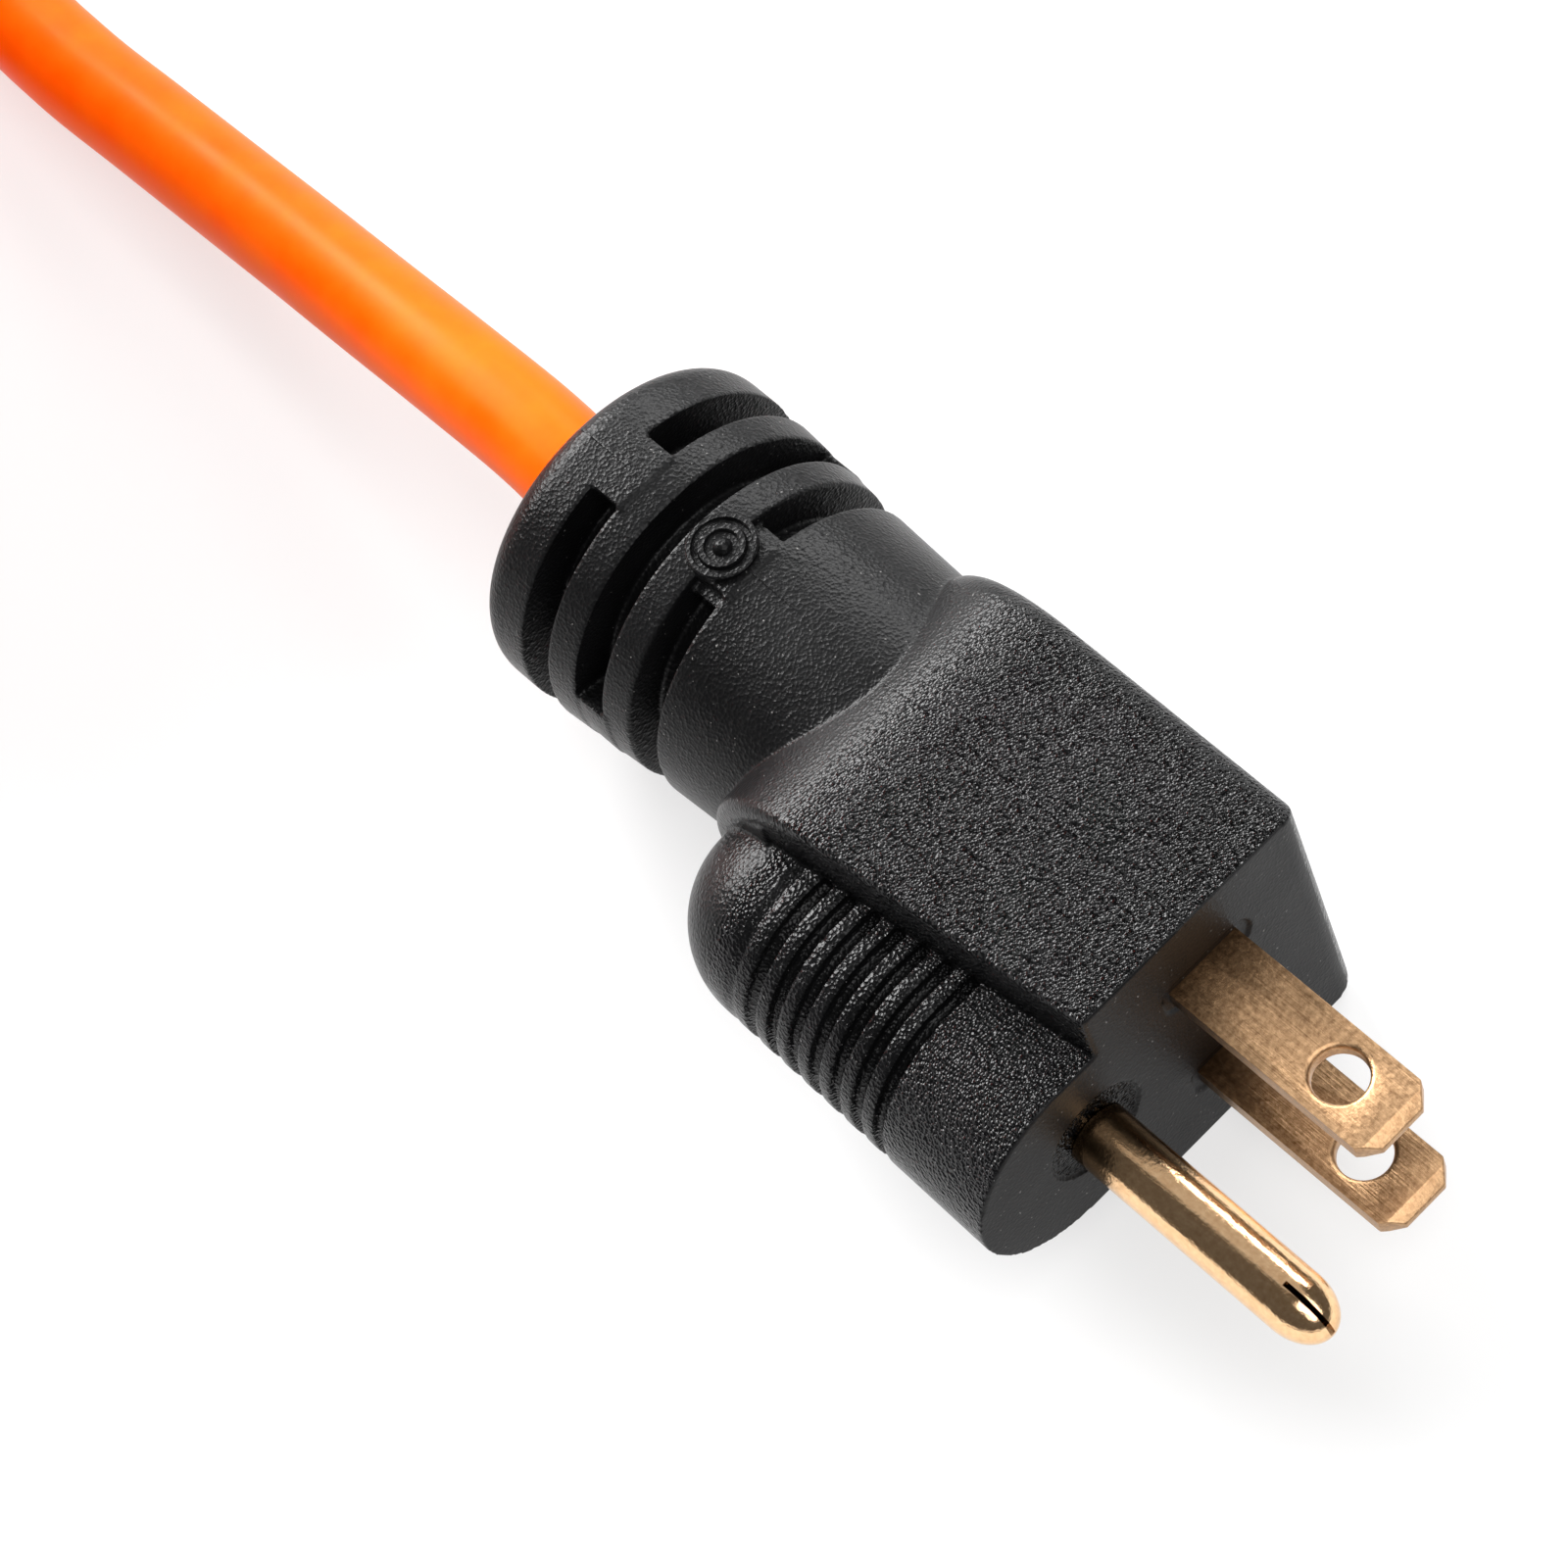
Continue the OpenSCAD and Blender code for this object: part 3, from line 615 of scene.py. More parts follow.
@dataclass(frozen=True)
class SoftJacket(Finish):
    """Smooth orange PVC, drawn along the cord, with a faint haze of handling.

    Attributes:
        colour: The plastic's colour.
        pale: Its colour in the haze.
        shine: The colour of its gloss.
        gloss: The specular level.
    """

    colour: Point = (1.0, 0.108, 0.0)
    pale: Point = (1.0, 0.145, 0.002)
    shine: Point = (1.0, 0.72, 0.22)
    gloss: float = 0.14

    def build(self, nodes: Nodes) -> bpy.types.Material:
        """Wires the material. The UV map is in metres, along and round the cord.

        Args:
            nodes: The bare material.

        Returns:
            The material.
        """
        flat = nodes.place(uv=True)
        streaks = nodes.noise(nodes.place((40.0, 900.0, 1.0), uv=True), 1.0, 3.0)
        mottle = nodes.noise(flat, 210.0, 4.0, 0.55)
        pores = nodes.noise(flat, 2600.0, 2.0)
        soft = nodes.bump(mottle, 0.00008, 0.5)
        normal = nodes.bump(nodes.math("ADD", streaks, pores), 0.000008, 0.8, soft)
        nodes.set(Base_Color=nodes.mix(nodes.ramp(mottle, 0.3, 0.75), self.colour,
                                       self.pale),
                  Roughness=nodes.ramp(mottle, 0.3, 0.7, 0.36, 0.47),
                  Normal=normal, Specular_IOR_Level=self.gloss,
                  Specular_Tint=(*self.shine, 1.0),
                  Subsurface_Weight=0.08, Subsurface_Radius=(0.004, 0.0015, 0.0004),
                  Subsurface_Scale=0.4)
        return nodes.material


@dataclass(frozen=True)
class Metal(Finish):
    """Bare metal, brushed along the piece and tarnished in patches.

    Attributes:
        bright: Its colour where it is not tarnished.
        dull: Its colour where it is tarnished.
        smooth: Its least roughness.
        rough: Its greatest roughness.
        along: How many brush marks there are to a metre, along each axis.
        scratch: How deep the marks are, in metres.
        root: Where along X the piece comes out of its moulding, in metres.
    """

    bright: Point
    dull: Point
    smooth: float
    rough: float
    along: Point = (120.0, 6000.0, 6000.0)
    scratch: float = 0.000012
    root: float = -1.0

    def build(self, nodes: Nodes) -> bpy.types.Material:
        """Wires the material, with painted shade that darkens it for a few millimetres
        from the root.

        Args:
            nodes: The bare material.

        Returns:
            The material.
        """
        lines = nodes.noise(nodes.place(self.along), 1.0, 4.0, 0.65)
        at = nodes.place()
        stain = nodes.noise(at, 2300.0, 5.0, 0.62)
        specks = nodes.noise(at, 4200.0, 2.0, 0.6)
        both = nodes.math("ADD", lines, nodes.math("MULTIPLY", specks, 0.6))
        tone = nodes.ramp(nodes.math("ADD", stain, nodes.math("MULTIPLY", lines, 0.6)),
                          0.50, 1.10)
        along = nodes.add("SeparateXYZ", Vector=at).outputs["X"]
        # Painted shade: the colour darkens over the first few millimetres out of the
        # moulding, where the face shades the metal.
        unshaded = nodes.ramp(nodes.math("ADD", along, nodes.math("MULTIPLY", stain, 0.003)),
                           self.root + 0.0015, self.root + 0.007)
        root_shade = tuple(0.4 * part for part in self.dull)
        nodes.set(Base_Color=nodes.mix(unshaded, root_shade,
                                       nodes.mix(tone, self.dull, self.bright)),
                  Metallic=1.0, Normal=nodes.bump(both, self.scratch),
                  Roughness=nodes.ramp(stain, 0.3, 0.7, self.smooth, self.rough))
        return nodes.material


@dataclass(frozen=True)
class Plain(Finish):
    """Moulded plastic or drawn insulation of one colour, with a fine skin.

    Attributes:
        colour: Its colour.
        rough: Its least roughness.
        grain: How many bumps of the skin there are to a metre.
        depth: How deep they are, in metres.
    """

    colour: Point
    rough: float = 0.4
    grain: float = 2400.0
    depth: float = 0.00002

    def build(self, nodes: Nodes) -> bpy.types.Material:
        """Wires the material.

        Args:
            nodes: The bare material.

        Returns:
            The material.
        """
        at = nodes.place()
        cloud = nodes.noise(at, 260.0, 3.0)
        darker = tuple(0.8 * part for part in self.colour)
        nodes.set(Base_Color=nodes.mix(nodes.ramp(cloud, 0.3, 0.7), darker, self.colour),
                  Roughness=nodes.ramp(cloud, 0.3, 0.7, self.rough, self.rough + 0.1),
                  Normal=nodes.bump(nodes.noise(at, self.grain), self.depth))
        return nodes.material


@dataclass(frozen=True)
class Woven(Finish):
    """Dark tape, woven across and napped with loops.

    Attributes:
        thread: How many threads there are to a metre.
        low: The colour between the loops.
        high: The colour of the loops.
    """

    thread: float = 1700.0
    low: Point = (0.008, 0.008, 0.009)
    high: Point = (0.035, 0.035, 0.038)

    def build(self, nodes: Nodes) -> bpy.types.Material:
        """Wires the material.

        Args:
            nodes: The bare material.

        Returns:
            The material.
        """
        at = nodes.place()
        rows = nodes.add("TexVoronoi", Vector=at, Scale=self.thread).outputs["Distance"]
        nap = nodes.noise(at, 5200.0, 4.0, 0.7)
        height = nodes.math("ADD", rows, nodes.math("MULTIPLY", nap, 0.6))
        nodes.set(Base_Color=nodes.mix(nodes.ramp(nap, 0.3, 0.7), self.low, self.high),
                  Roughness=0.85, Normal=nodes.bump(height, 0.0002),
                  Sheen_Weight=0.35, Sheen_Roughness=0.5)
        return nodes.material


PLUG_FACE = 0.01925
BLACK_MOULDING = MouldedBlack("black_moulding")
ORANGE_JACKET = SoftJacket("orange_jacket")
BLADE_BRASS = Metal("blade_brass", (0.66, 0.42, 0.23), (0.29, 0.16, 0.078), 0.32, 0.44,
                    scratch=0.00003, root=PLUG_FACE)
PIN_BRASS = Metal("pin_brass", (0.97, 0.66, 0.38), (0.78, 0.47, 0.24), 0.08, 0.17,
                  (700.0, 2600.0, 2600.0), 0.000022, PLUG_FACE)
CONTACT_BRASS = Metal("contact_brass", (0.83, 0.64, 0.36), (0.60, 0.43, 0.22), 0.25, 0.4)
BARE_COPPER = Metal("bare_copper", (0.90, 0.45, 0.26), (0.60, 0.26, 0.13), 0.25, 0.4)
BLACK_WIRE = Plain("black_wire", (0.018, 0.018, 0.018))
WHITE_WIRE = Plain("white_wire", (0.80, 0.80, 0.76))
GREEN_WIRE = Plain("green_wire", (0.02, 0.22, 0.06))
BRIDGE_NYLON = Plain("bridge_nylon", (0.03, 0.03, 0.033), 0.5)
IVORY_NYLON = Plain("ivory_nylon", (0.70, 0.66, 0.55), 0.45)
TIE_TAPE = Woven("tie_tape")


# ------------------------------------------------------------------------ studio


@dataclass(frozen=True)
class Softbox:
    """One square lamp, which faces what it lights.

    Attributes:
        name: Its name.
        towards: The direction from the plug to the lamp.
        distance: How far away it is, in metres.
        size: Its width and height, in metres.
        power: Its power, in watts.
    """

    name: str
    towards: Point
    distance: float
    size: tuple[float, float]
    power: float


@dataclass(frozen=True)
class Studio:
    """A pale floor, soft lamps, and the camera at the customer's view of the plug.

    Attributes:
        azimuth: The side that the camera looks from, in degrees.
        elevation: How far up it is, in degrees.
        roll: How far it is turned about its own line, in degrees.
        distance: How far from the plug it is, in metres.
        lens: Its focal length, in millimetres.
        sensor: Its sensor's width, in millimetres.
        aim_back: How far behind the plug's face it aims, in metres.
        aim_side: How far to the side of the blades it aims, in metres.
        floor_size: The floor's side, in metres.
        floor_colour: How pale the floor is.
        floor_lift: How much the floor shines by itself.
        world: How bright the surroundings are.
        lamps: The lamps.
    """

    azimuth: float = 68.55
    elevation: float = 60.53
    roll: float = 25.4
    distance: float = 0.40738
    lens: float = 135.0
    sensor: float = 36.0
    aim_back: float = 0.03504
    aim_side: float = 0.00765
    floor_size: float = 6.0
    floor_colour: float = 0.30
    floor_lift: float = 0.66
    world: float = 0.12
    lamps: tuple[Softbox, ...] = (
        Softbox("overhead", (0.50, 0.05, 0.86), 1.0, (0.9, 0.9), 8.5),
        Softbox("top", (-0.40, 0.34, 0.86), 0.9, (0.7, 0.7), 0.68),
        Softbox("back", (-0.42, 0.75, 0.50), 0.9, (0.6, 0.30), 6.4),
        Softbox("left", (-0.87, -0.02, 0.53), 0.9, (0.75, 0.34), 23.0),
    )

    def light(self, aim: Vector) -> None:
        """Hangs the lamps and sets the world.

        Args:
            aim: The point that the lamps face.
        """
        for lamp in self.lamps:
            data = bpy.data.lights.new(lamp.name, "AREA")
            data.shape = "RECTANGLE"
            data.size, data.size_y = lamp.size
            data.energy = lamp.power
            holder = bpy.data.objects.new(lamp.name, data)
            bpy.context.scene.collection.objects.link(holder)
            towards = Vector(lamp.towards).normalized()
            holder.matrix_world = (Matrix.Translation(aim + lamp.distance * towards)
                                   @ towards.to_track_quat("Z", "Y").to_matrix().to_4x4())
        world = bpy.data.worlds.new("studio")
        world.use_nodes = True
        sky = world.node_tree.nodes["Background"].inputs
        sky["Color"].default_value = (1, 1, 1, 1)
        sky["Strength"].default_value = self.world
        bpy.context.scene.world = world

    def floor(self) -> None:
        """Lays the floor, which shows white to the camera and keeps its shadows."""
        bpy.ops.mesh.primitive_plane_add(size=self.floor_size)
        floor = bpy.context.object
        floor.name = "studio_floor"
        nodes = Nodes("studio_floor")
        tint = (self.floor_colour,) * 3
        nodes.set(Base_Color=(*tint, 1.0), Roughness=0.9, Specular_IOR_Level=0.0,
                  Emission_Color=(1.0, 1.0, 1.0, 1.0), Emission_Strength=self.floor_lift)
        floor.data.materials.append(nodes.material)

    def camera(self, aim: Vector) -> None:
        """Sets the camera.

        Args:
            aim: The point on which the view is centred.
        """
        around = math.radians(self.azimuth)
        up = math.radians(self.elevation)
        roll = math.radians(self.roll)
        back = Vector((math.sin(around) * math.cos(up), -math.cos(around) * math.cos(up),
                       math.sin(up)))
        level = Vector((math.cos(around), math.sin(around), 0.0))
        top = back.cross(level) * math.cos(roll) + level * math.sin(roll)
        data = bpy.data.cameras.new("camera")
        data.lens = self.lens
        data.sensor_width = self.sensor
        camera = bpy.data.objects.new("camera", data)
        turn = Matrix((top.cross(back), top, back)).transposed()
        camera.matrix_world = (Matrix.Translation(aim + self.distance * back)
                               @ turn.to_4x4())
        bpy.context.scene.collection.objects.link(camera)
        bpy.context.scene.camera = camera

    def build(self, face: Vector) -> None:
        """Sets up the whole studio.

        Args:
            face: The middle of the plug's front face.
        """
        aim = face - Vector((self.aim_back, self.aim_side, 0.0))
        self.camera(aim)
        self.light(aim)
        self.floor()
        bpy.context.scene.view_settings.view_transform = "Standard"


# -------------------------------------------------------------------------- cord


@dataclass
class Cord:
    """The free cord: its run from the plug, its long coil, and its tail on top.

    Attributes:
        mouth: Where it leaves the plug.
        connector_mouth: Where it goes into the connector.
        diameter: Its diameter, in metres, as are all lengths below.
        length: Its real length, which is not used.
        coil_middle: The middle of the coil, on X and Y.
        coil_across: How wide the middle turn's centreline is.
        coil_run: How long the coil's straight sides are.
        coil_low: How high the lowest layer's centreline is.
        layer_turns: How many turns each layer has.
        turn_pitch: The distance between neighbouring turns and layers.
        layers: How many layers there are.
        run_share: Half a straight side's share of half a turn.
        tail_inset: How far inside the last layer the tail starts to climb.
        tail_rise: How far above that layer it lies.
        steps_per_turn: How many points a turn's centreline has.
        sides: How many sides the jacket has.
        near_step: The distance between the points of the run.
        lay_pitch: How long one twist of the wires inside is.
        swell: How much the wires swell the jacket, as a share of its radius.
        run: The run's own points, from the plug to the coil.
    """

    mouth: Vector
    connector_mouth: Vector
    diameter: float = 0.0081
    length: float = 7.62
    coil_middle: tuple[float, float] = (-0.205, -0.030)
    coil_across: float = 0.072
    coil_run: float = 0.091
    coil_low: float = 0.00555
    layer_turns: float = 2.5
    turn_pitch: float = 0.0087
    layers: int = 7
    run_share: float = 1 / 12
    tail_inset: float = 0.001
    tail_rise: float = 0.0099
    steps_per_turn: int = 64
    sides: int = 32
    near_step: float = 0.0012
    lay_pitch: float = 0.085
    swell: float = 0.012
    run: tuple[Point, ...] = (
        (-0.050, 0.0051, 0.0136), (-0.060, 0.0053, 0.0125), (-0.070, 0.00555, 0.0106),
        (-0.080, 0.0059, 0.0084), (-0.090, 0.0061, 0.0065), (-0.100, 0.00615, 0.0052),
        (-0.110, 0.0061, 0.0045), (-0.120, 0.0069, 0.0042), (-0.130, 0.0100, 0.0042),
        (-0.140, 0.0141, 0.0046), (-0.150, 0.01645, 0.0052), (-0.160, 0.016875, 0.00555),
        (-0.180, 0.016875, 0.00555),
    )

    def oval(self, turn: float, radius: float, height: float) -> Vector:
        """A point of a long oval, which starts in the middle of its +Y run.

        Args:
            turn: How many turns have been made.
            radius: The radius of its folds.
            height: The height of the point.

        Returns:
            The point.
        """
        half = math.floor(2 * turn + 1e-9)
        share = 2 * turn - half
        side = -1 if half % 2 else 1
        fold = (share - self.run_share) / (1 - 2 * self.run_share)
        angle = math.pi / 2 + math.pi * min(max(fold, 0.0), 1.0)
        reach = self.coil_run / 2 * min(share, 1 - share, self.run_share) / self.run_share
        return Vector((self.coil_middle[0] + side * (radius * math.cos(angle) - reach),
                       self.coil_middle[1] + side * radius * math.sin(angle), height))

    def coil_point(self, turn: float) -> Vector:
        """A point of the coil's centreline.

        Args:
            turn: How many turns have been made.

        Returns:
            The point.
        """
        half = self.layer_turns * self.turn_pitch / 2
        layer = min(int(turn / self.layer_turns), self.layers - 1)
        done = self.turn_pitch * (turn - layer * self.layer_turns)
        radius = self.coil_across / 2 + (half - done if layer % 2 == 0 else done - half)
        climb = sum(min(max((turn - k * self.layer_turns) * 2 + 0.5, 0.0), 1.0)
                    for k in range(1, self.layers))
        return self.oval(turn, radius, self.coil_low + self.turn_pitch * climb)

    def tail_point(self, share: float) -> Vector:
        """A point of the last turn, which lies on the coil and ends in the connector.

        Args:
            share: How much of the turn has been made, from 0 to 1.

        Returns:
            The point.
        """
        inner = (self.coil_across - self.layer_turns * self.turn_pitch) / 2
        least = inner - self.tail_inset
        widest = self.coil_middle[1] - self.connector_mouth.y
        top = self.coil_low + (self.layers - 1) * self.turn_pitch
        lifted = top + self.tail_rise
        radius = (inner + (least - inner) * ease(0.0, 0.14, share)
                  + (widest - least) * ease(0.15, 0.6, share))
        height = (top + (lifted - top) * ease(0.03, 0.3, share)
                  + (self.connector_mouth.z - lifted) * ease(0.66, 0.955, share))
        return self.oval(self.layers * self.layer_turns + share, radius, height)

    def smooth(self, points: Sequence[Vector], step: float) -> list[Vector]:
        """Runs an even curve through points.

        Args:
            points: The points, of which the first and last only give direction.
            step: The distance between the curve's own points.

        Returns:
            The curve's points, from the second point to the last but one.
        """
        curve: list[Vector] = []
        for a, b, c, d in zip(points, points[1:], points[2:], points[3:]):
            count = max(1, round((c - b).length / step))
            for i in range(count):
                t = i / count
                curve.append(0.5 * (2 * b + (c - a) * t
                                    + (2 * a - 5 * b + 4 * c - d) * t * t
                                    + (3 * b - a - 3 * c + d) * t ** 3))
        return curve + [points[-2]]

    def path(self) -> list[Vector]:
        """The whole centreline.

        Returns:
            Its points, from the plug's mouth to the connector's.
        """
        turns = self.layers * self.layer_turns
        count = round(turns * self.steps_per_turn)
        coil = [self.coil_point(turns * i / count) for i in range(count + 1)]
        first = coil[0] + Vector((self.diameter, 0, 0))
        ahead = Vector((0.01, 0, 0))
        run = [self.mouth + ahead, self.mouth, *map(Vector, self.run), first, coil[0]]
        tail = [self.tail_point(i / 80) for i in range(1, 77)]
        return self.smooth(run, self.near_step) + coil + tail + [self.connector_mouth]

    def tube(self, path: Sequence[Vector]) -> bpy.types.Object:
        """Sweeps the round jacket along the centreline.

        The three wires inside lie in a slow twist, which swells the jacket a little.

        Args:
            path: The centreline.

        Returns:
            The jacket, closed at both ends, with a UV map in metres.
        """
        ways = [(path[min(i + 1, len(path) - 1)] - path[max(i - 1, 0)]).normalized()
                for i in range(len(path))]
        side = ways[0].cross(Vector((0, 0, 1))).normalized()
        points: list[Vector] = []
        along = [0.0]
        for i, (point, way) in enumerate(zip(path, ways)):
            if i:
                along.append(along[-1] + (point - path[i - 1]).length)
            side = (side - way * side.dot(way)).normalized()
            up = way.cross(side)
            twist = math.tau * along[-1] / self.lay_pitch
            for k in range(self.sides):
                angle = math.tau * k / self.sides
                radius = self.diameter / 2 * (
                    1 - self.swell * (0.5 - 0.5 * math.cos(3 * angle - twist)))
                points.append(point + radius * (math.cos(angle) * side
                                                + math.sin(angle) * up))
        faces = [(a * self.sides + k, a * self.sides + (k + 1) % self.sides,
                  (a + 1) * self.sides + (k + 1) % self.sides, (a + 1) * self.sides + k)
                 for a in range(len(path) - 1) for k in range(self.sides)]
        faces.append(tuple(reversed(range(self.sides))))
        base = (len(path) - 1) * self.sides
        faces.append(tuple(base + k for k in range(self.sides)))
        piece = drawn("free_cord", points, [], faces)
        uv = piece.data.uv_layers.new(name="jacket")
        round_it = math.pi * self.diameter
        for face in piece.data.polygons[:-2]:
            corners = ((0, 0), (0, 1), (1, 1), (1, 0))
            row, column = divmod(face.index, self.sides)
            for loop, (ahead, beside) in zip(face.loop_indices, corners):
                uv.data[loop].uv = (along[row + ahead],
                                    round_it * (column + beside) / self.sides)
        with editing(piece):
            face_out()
        return piece

    def build(self) -> bpy.types.Object:
        """Makes and dresses the cord.

        Returns:
            The cord.
        """
        piece = self.tube(self.path())
        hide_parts("cord_run", "cord_coil", "cord_tail")
        return set_down(piece, "free_cord", Matrix.Identity(4), ORANGE_JACKET,
                        "cord_jacket", 60.0)

    def declare(self) -> None:
        tuple(self.mouth)
        [tuple(point) for point in self.path()]


# -------------------------------------------------------------------- mouldings


@dataclass
class Moulding:
    """What the plug's and the connector's mouldings share. Sizes are in millimetres.

    The bench's origin is on the front face, in line with the blades, and +X is
    where they point. The neck is made with its mouth at the origin.

    Attributes:
        place: From the bench to the frame.
        length: From the face to the neck's mouth.
        flat: From the face to where the head's round back starts.
        head_h: The head's height.
        blade_z: How far a blade is from the middle.
        pin_y: How far the pin is from the blades' line.
        neck_shift: How far the neck is from the blades' line.
        neck_r_mouth: The neck's radius at its mouth.
        neck_r_head: The neck's radius at the head.
        neck_round: The rounding of the mouth's rim.
        slot_start: From the mouth to the middle of the first slot.
        slot_pitch: The distance between slots.
        slot_w: A slot's width.
        slot_d: A slot's depth.
        slot_bridge: Half the angle that a bridge across a slot takes, in degrees.
        gate_r: The radius of the pad where the plastic was injected.
        gate_start: From the mouth to the middle of the pad.
        gate_h: How far the pad stands above the neck.
        seam_end: From the mouth to the end of the neck's seam.
        face_grain: How coarse the grain is on the face, from 0 to 1.
        voxel: How fine the skin is.
        triangles: The most triangles that the skin may have.
    """

    place: Matrix
    length: float = 60.3
    flat: float = 21.9
    head_h: float = 27.6
    blade_z: float = 6.35
    pin_y: float = 11.89
    neck_shift: float = 0.4
    neck_r_mouth: float = 13.2
    neck_r_head: float = 10.7
    neck_round: float = 2.3
    slot_start: float = 6.2
    slot_pitch: float = 5.25
    slot_w: float = 2.6
    slot_d: float = 2.4
    slot_bridge: float = 11.5
    gate_r: float = 2.6
    gate_start: float = 15.4
    gate_h: float = 0.3
    seam_end: float = 31.8
    face_grain: float = 0.12
    voxel: float = 0.17
    triangles: int = 190000

    def neck_end(self) -> float:
        """How far from its mouth the neck ends, inside the head."""
        return self.length - self.flat / 2

    def neck_radius(self, x: float) -> float:
        """The neck's radius.

        Args:
            x: A distance from its mouth.

        Returns:
            The radius there.
        """
        end = self.neck_end() - self.head_h / 3
        share = min(max((x - self.slot_start) / (end - self.slot_start), 0.0), 1.0)
        return self.neck_r_mouth + share * (self.neck_r_head - self.neck_r_mouth)

    def ring(self, start: float, end: float) -> bpy.types.Object:
        """One full ring of the neck.

        Args:
            start: From the mouth to where it starts.
            end: From the mouth to where it ends.

        Returns:
            The ring.
        """
        floor = self.slot_floor() - 1
        return spun([(start, floor), (start, self.neck_radius(start)),
                     (end, self.neck_radius(end)), (end, floor)])

    def slot_floor(self) -> float:
        """The radius of the bottom of the neck's slots."""
        return (self.neck_r_head + self.neck_r_mouth) / 2 - self.slot_d

    def neck(self) -> list[bpy.types.Object]:
        """The strain relief: collar, core, rings, and the bridges between them.

        Returns:
            Overlapping shells, with the mouth at the origin.
        """
        rim = [(self.neck_round * (1 - math.cos(a)),
                self.neck_r_mouth - self.neck_round * (1 - math.sin(a)))
               for a in [math.pi / 2 * i / 8 for i in range(9)]]
        first_slot = self.slot_start - self.slot_w / 2
        shells = [
            spun([(0, 0.01), *rim, (first_slot, self.neck_r_mouth), (first_slot, 0.01)]),
            turned(self.slot_floor(), 0.5, self.neck_end()),
        ]
        ends = [self.slot_start + i * self.slot_pitch for i in range(3)]
        half = self.slot_w / 2
        shells += [self.ring(a + half, b - half)
                   for a, b in zip(ends, [*ends[1:], self.neck_end() + half])]
        lap = half + 0.4
        for i, middle in enumerate(ends):
            reach = self.neck_radius(middle)
            for side in (0, 180):
                angle = (90 if i != 1 else 0) + side
                shells.append(self.bridge(middle - lap, middle + lap, reach, angle,
                                          self.slot_bridge))
                if i == 2:
                    shells.append(self.bridge(middle - lap, middle + lap, reach - 0.7,
                                              angle, self.slot_bridge + 5))
        return shells

    def bridge(self, start: float, end: float, reach: float, angle: float,
               half_angle: float) -> bpy.types.Object:
        """A short stretch of ring that fills a slot round one angle."""
        return spun([(start, 6), (start, reach), (end, reach), (end, 6)],
                    2 * half_angle, angle - half_angle, 12)

    def gate(self) -> bpy.types.Object:
        """The round pad on top of the neck, where the plastic was injected.

        Returns:
            The pad, with the neck's mouth at the origin.
        """
        top = self.neck_radius(self.gate_start) + self.gate_h
        r = self.gate_r
        pad = spun([(top - 5, 0.01), (top - 5, r), (top - 0.1, r), (top, r - 0.12),
                    (top, r - 0.38), (top - 0.35, r - 0.5), (top - 0.35, r - 0.78),
                    (top - 0.02, r - 0.92), (top - 0.02, r - 1.3), (top - 0.3, r - 1.45),
                    (top - 0.3, 0.75), (top - 0.05, 0.6), (top + 0.2, 0.38),
                    (top + 0.28, 0.15), (top + 0.22, 0.01)], steps=72)
        pad.data.transform(Matrix.Translation((self.gate_start, 0, 0))
                           @ Matrix.Rotation(-math.pi / 2, 4, "Y"))
        return pad

    def seam(self, line: Sequence[tuple[float, float]], width: float,
             rise: float) -> bpy.types.Object:
        """A fine ridge along the moulding's top, where the mould's halves met.

        Args:
            line: The ridge's run, each a place on X and the skin's height there.
            width: Its width.
            rise: How far it stands above the skin.

        Returns:
            The closed ridge.
        """
        corners = ((-width / 2, -0.4), (-width / 5, rise), (width / 5, rise),
                   (width / 2, -0.4))
        points = [(x, y, z + dz) for x, z in line for y, dz in corners]
        faces = [(4 * i + k, 4 * i + (k + 1) % 4, 4 * i + 4 + (k + 1) % 4, 4 * i + 4 + k)
                 for i in range(len(line) - 1) for k in range(4)]
        last = 4 * len(line) - 4
        faces += [(3, 2, 1, 0), (last, last + 1, last + 2, last + 3)]
        piece = drawn("seam", points, [], faces)
        with editing(piece):
            face_out()
        return piece

    def neck_seams(self) -> list[bpy.types.Object]:
        """The ridges along the neck's top, with its mouth at the origin.

        Returns:
            One ridge before the pad, and one behind it.
        """
        first = [(1.0, self.neck_r_mouth - 0.35), (self.neck_round, self.neck_r_mouth),
                 (self.slot_start + self.slot_w / 2 + 0.4, self.neck_radius(8.0))]
        start = self.gate_start + self.gate_r - 0.1
        second = [(x, self.neck_radius(x)) for x in (start, self.seam_end)]
        return [self.seam(line, 0.3, 0.13) for line in (first, second)]

    def whole_neck(self) -> tuple[list[bpy.types.Object], list[bpy.types.Object]]:
        """The neck in its place behind the head.

        Returns:
            Its shells, and the pad and the ridges on it.
        """
        neck = self.neck()
        on_neck = [self.gate(), *self.neck_seams()]
        for shell in (*neck, *on_neck):
            move(shell, (-self.length, -self.neck_shift, 0))
        return neck, on_neck

    def head_seam(self, front: float) -> bpy.types.Object:
        """The ridge over the head's round back and along its flat top.

        Args:
            front: Where the ridge ends.

        Returns:
            The ridge.
        """
        line = [(-self.flat - x, math.sqrt((self.head_h / 2) ** 2 - x ** 2))
                for x in (7.1, 5.6, 4.1, 2.6, 1.1, 0.0)]
        return move(self.seam([*line, (front, self.head_h / 2)], 0.26, 0.09),
                    (0, -self.neck_shift, 0))

    def skin(self, name: str, shells: Sequence[bpy.types.Object],
             ridges: Sequence[bpy.types.Object]) -> bpy.types.Object:
        """Fuses shells into one softened skin and lays the ridges on it.

        Args:
            name: The skin's name.
            shells: Overlapping closed shells.
            ridges: Small closed pieces, which stay sharp.

        Returns:
            The skin, with its grain written on it.
        """
        piece = gather(shells, name)
        soften(piece, self.voxel, 2, self.triangles)
        piece = gather([piece, *ridges], name)
        self.grain(piece, self.grain_at)
        return piece

    def grain_at(self, at: Vector) -> float:
        """How coarse the grain is at a point of the skin, from 0 to 1."""
        raise NotImplementedError

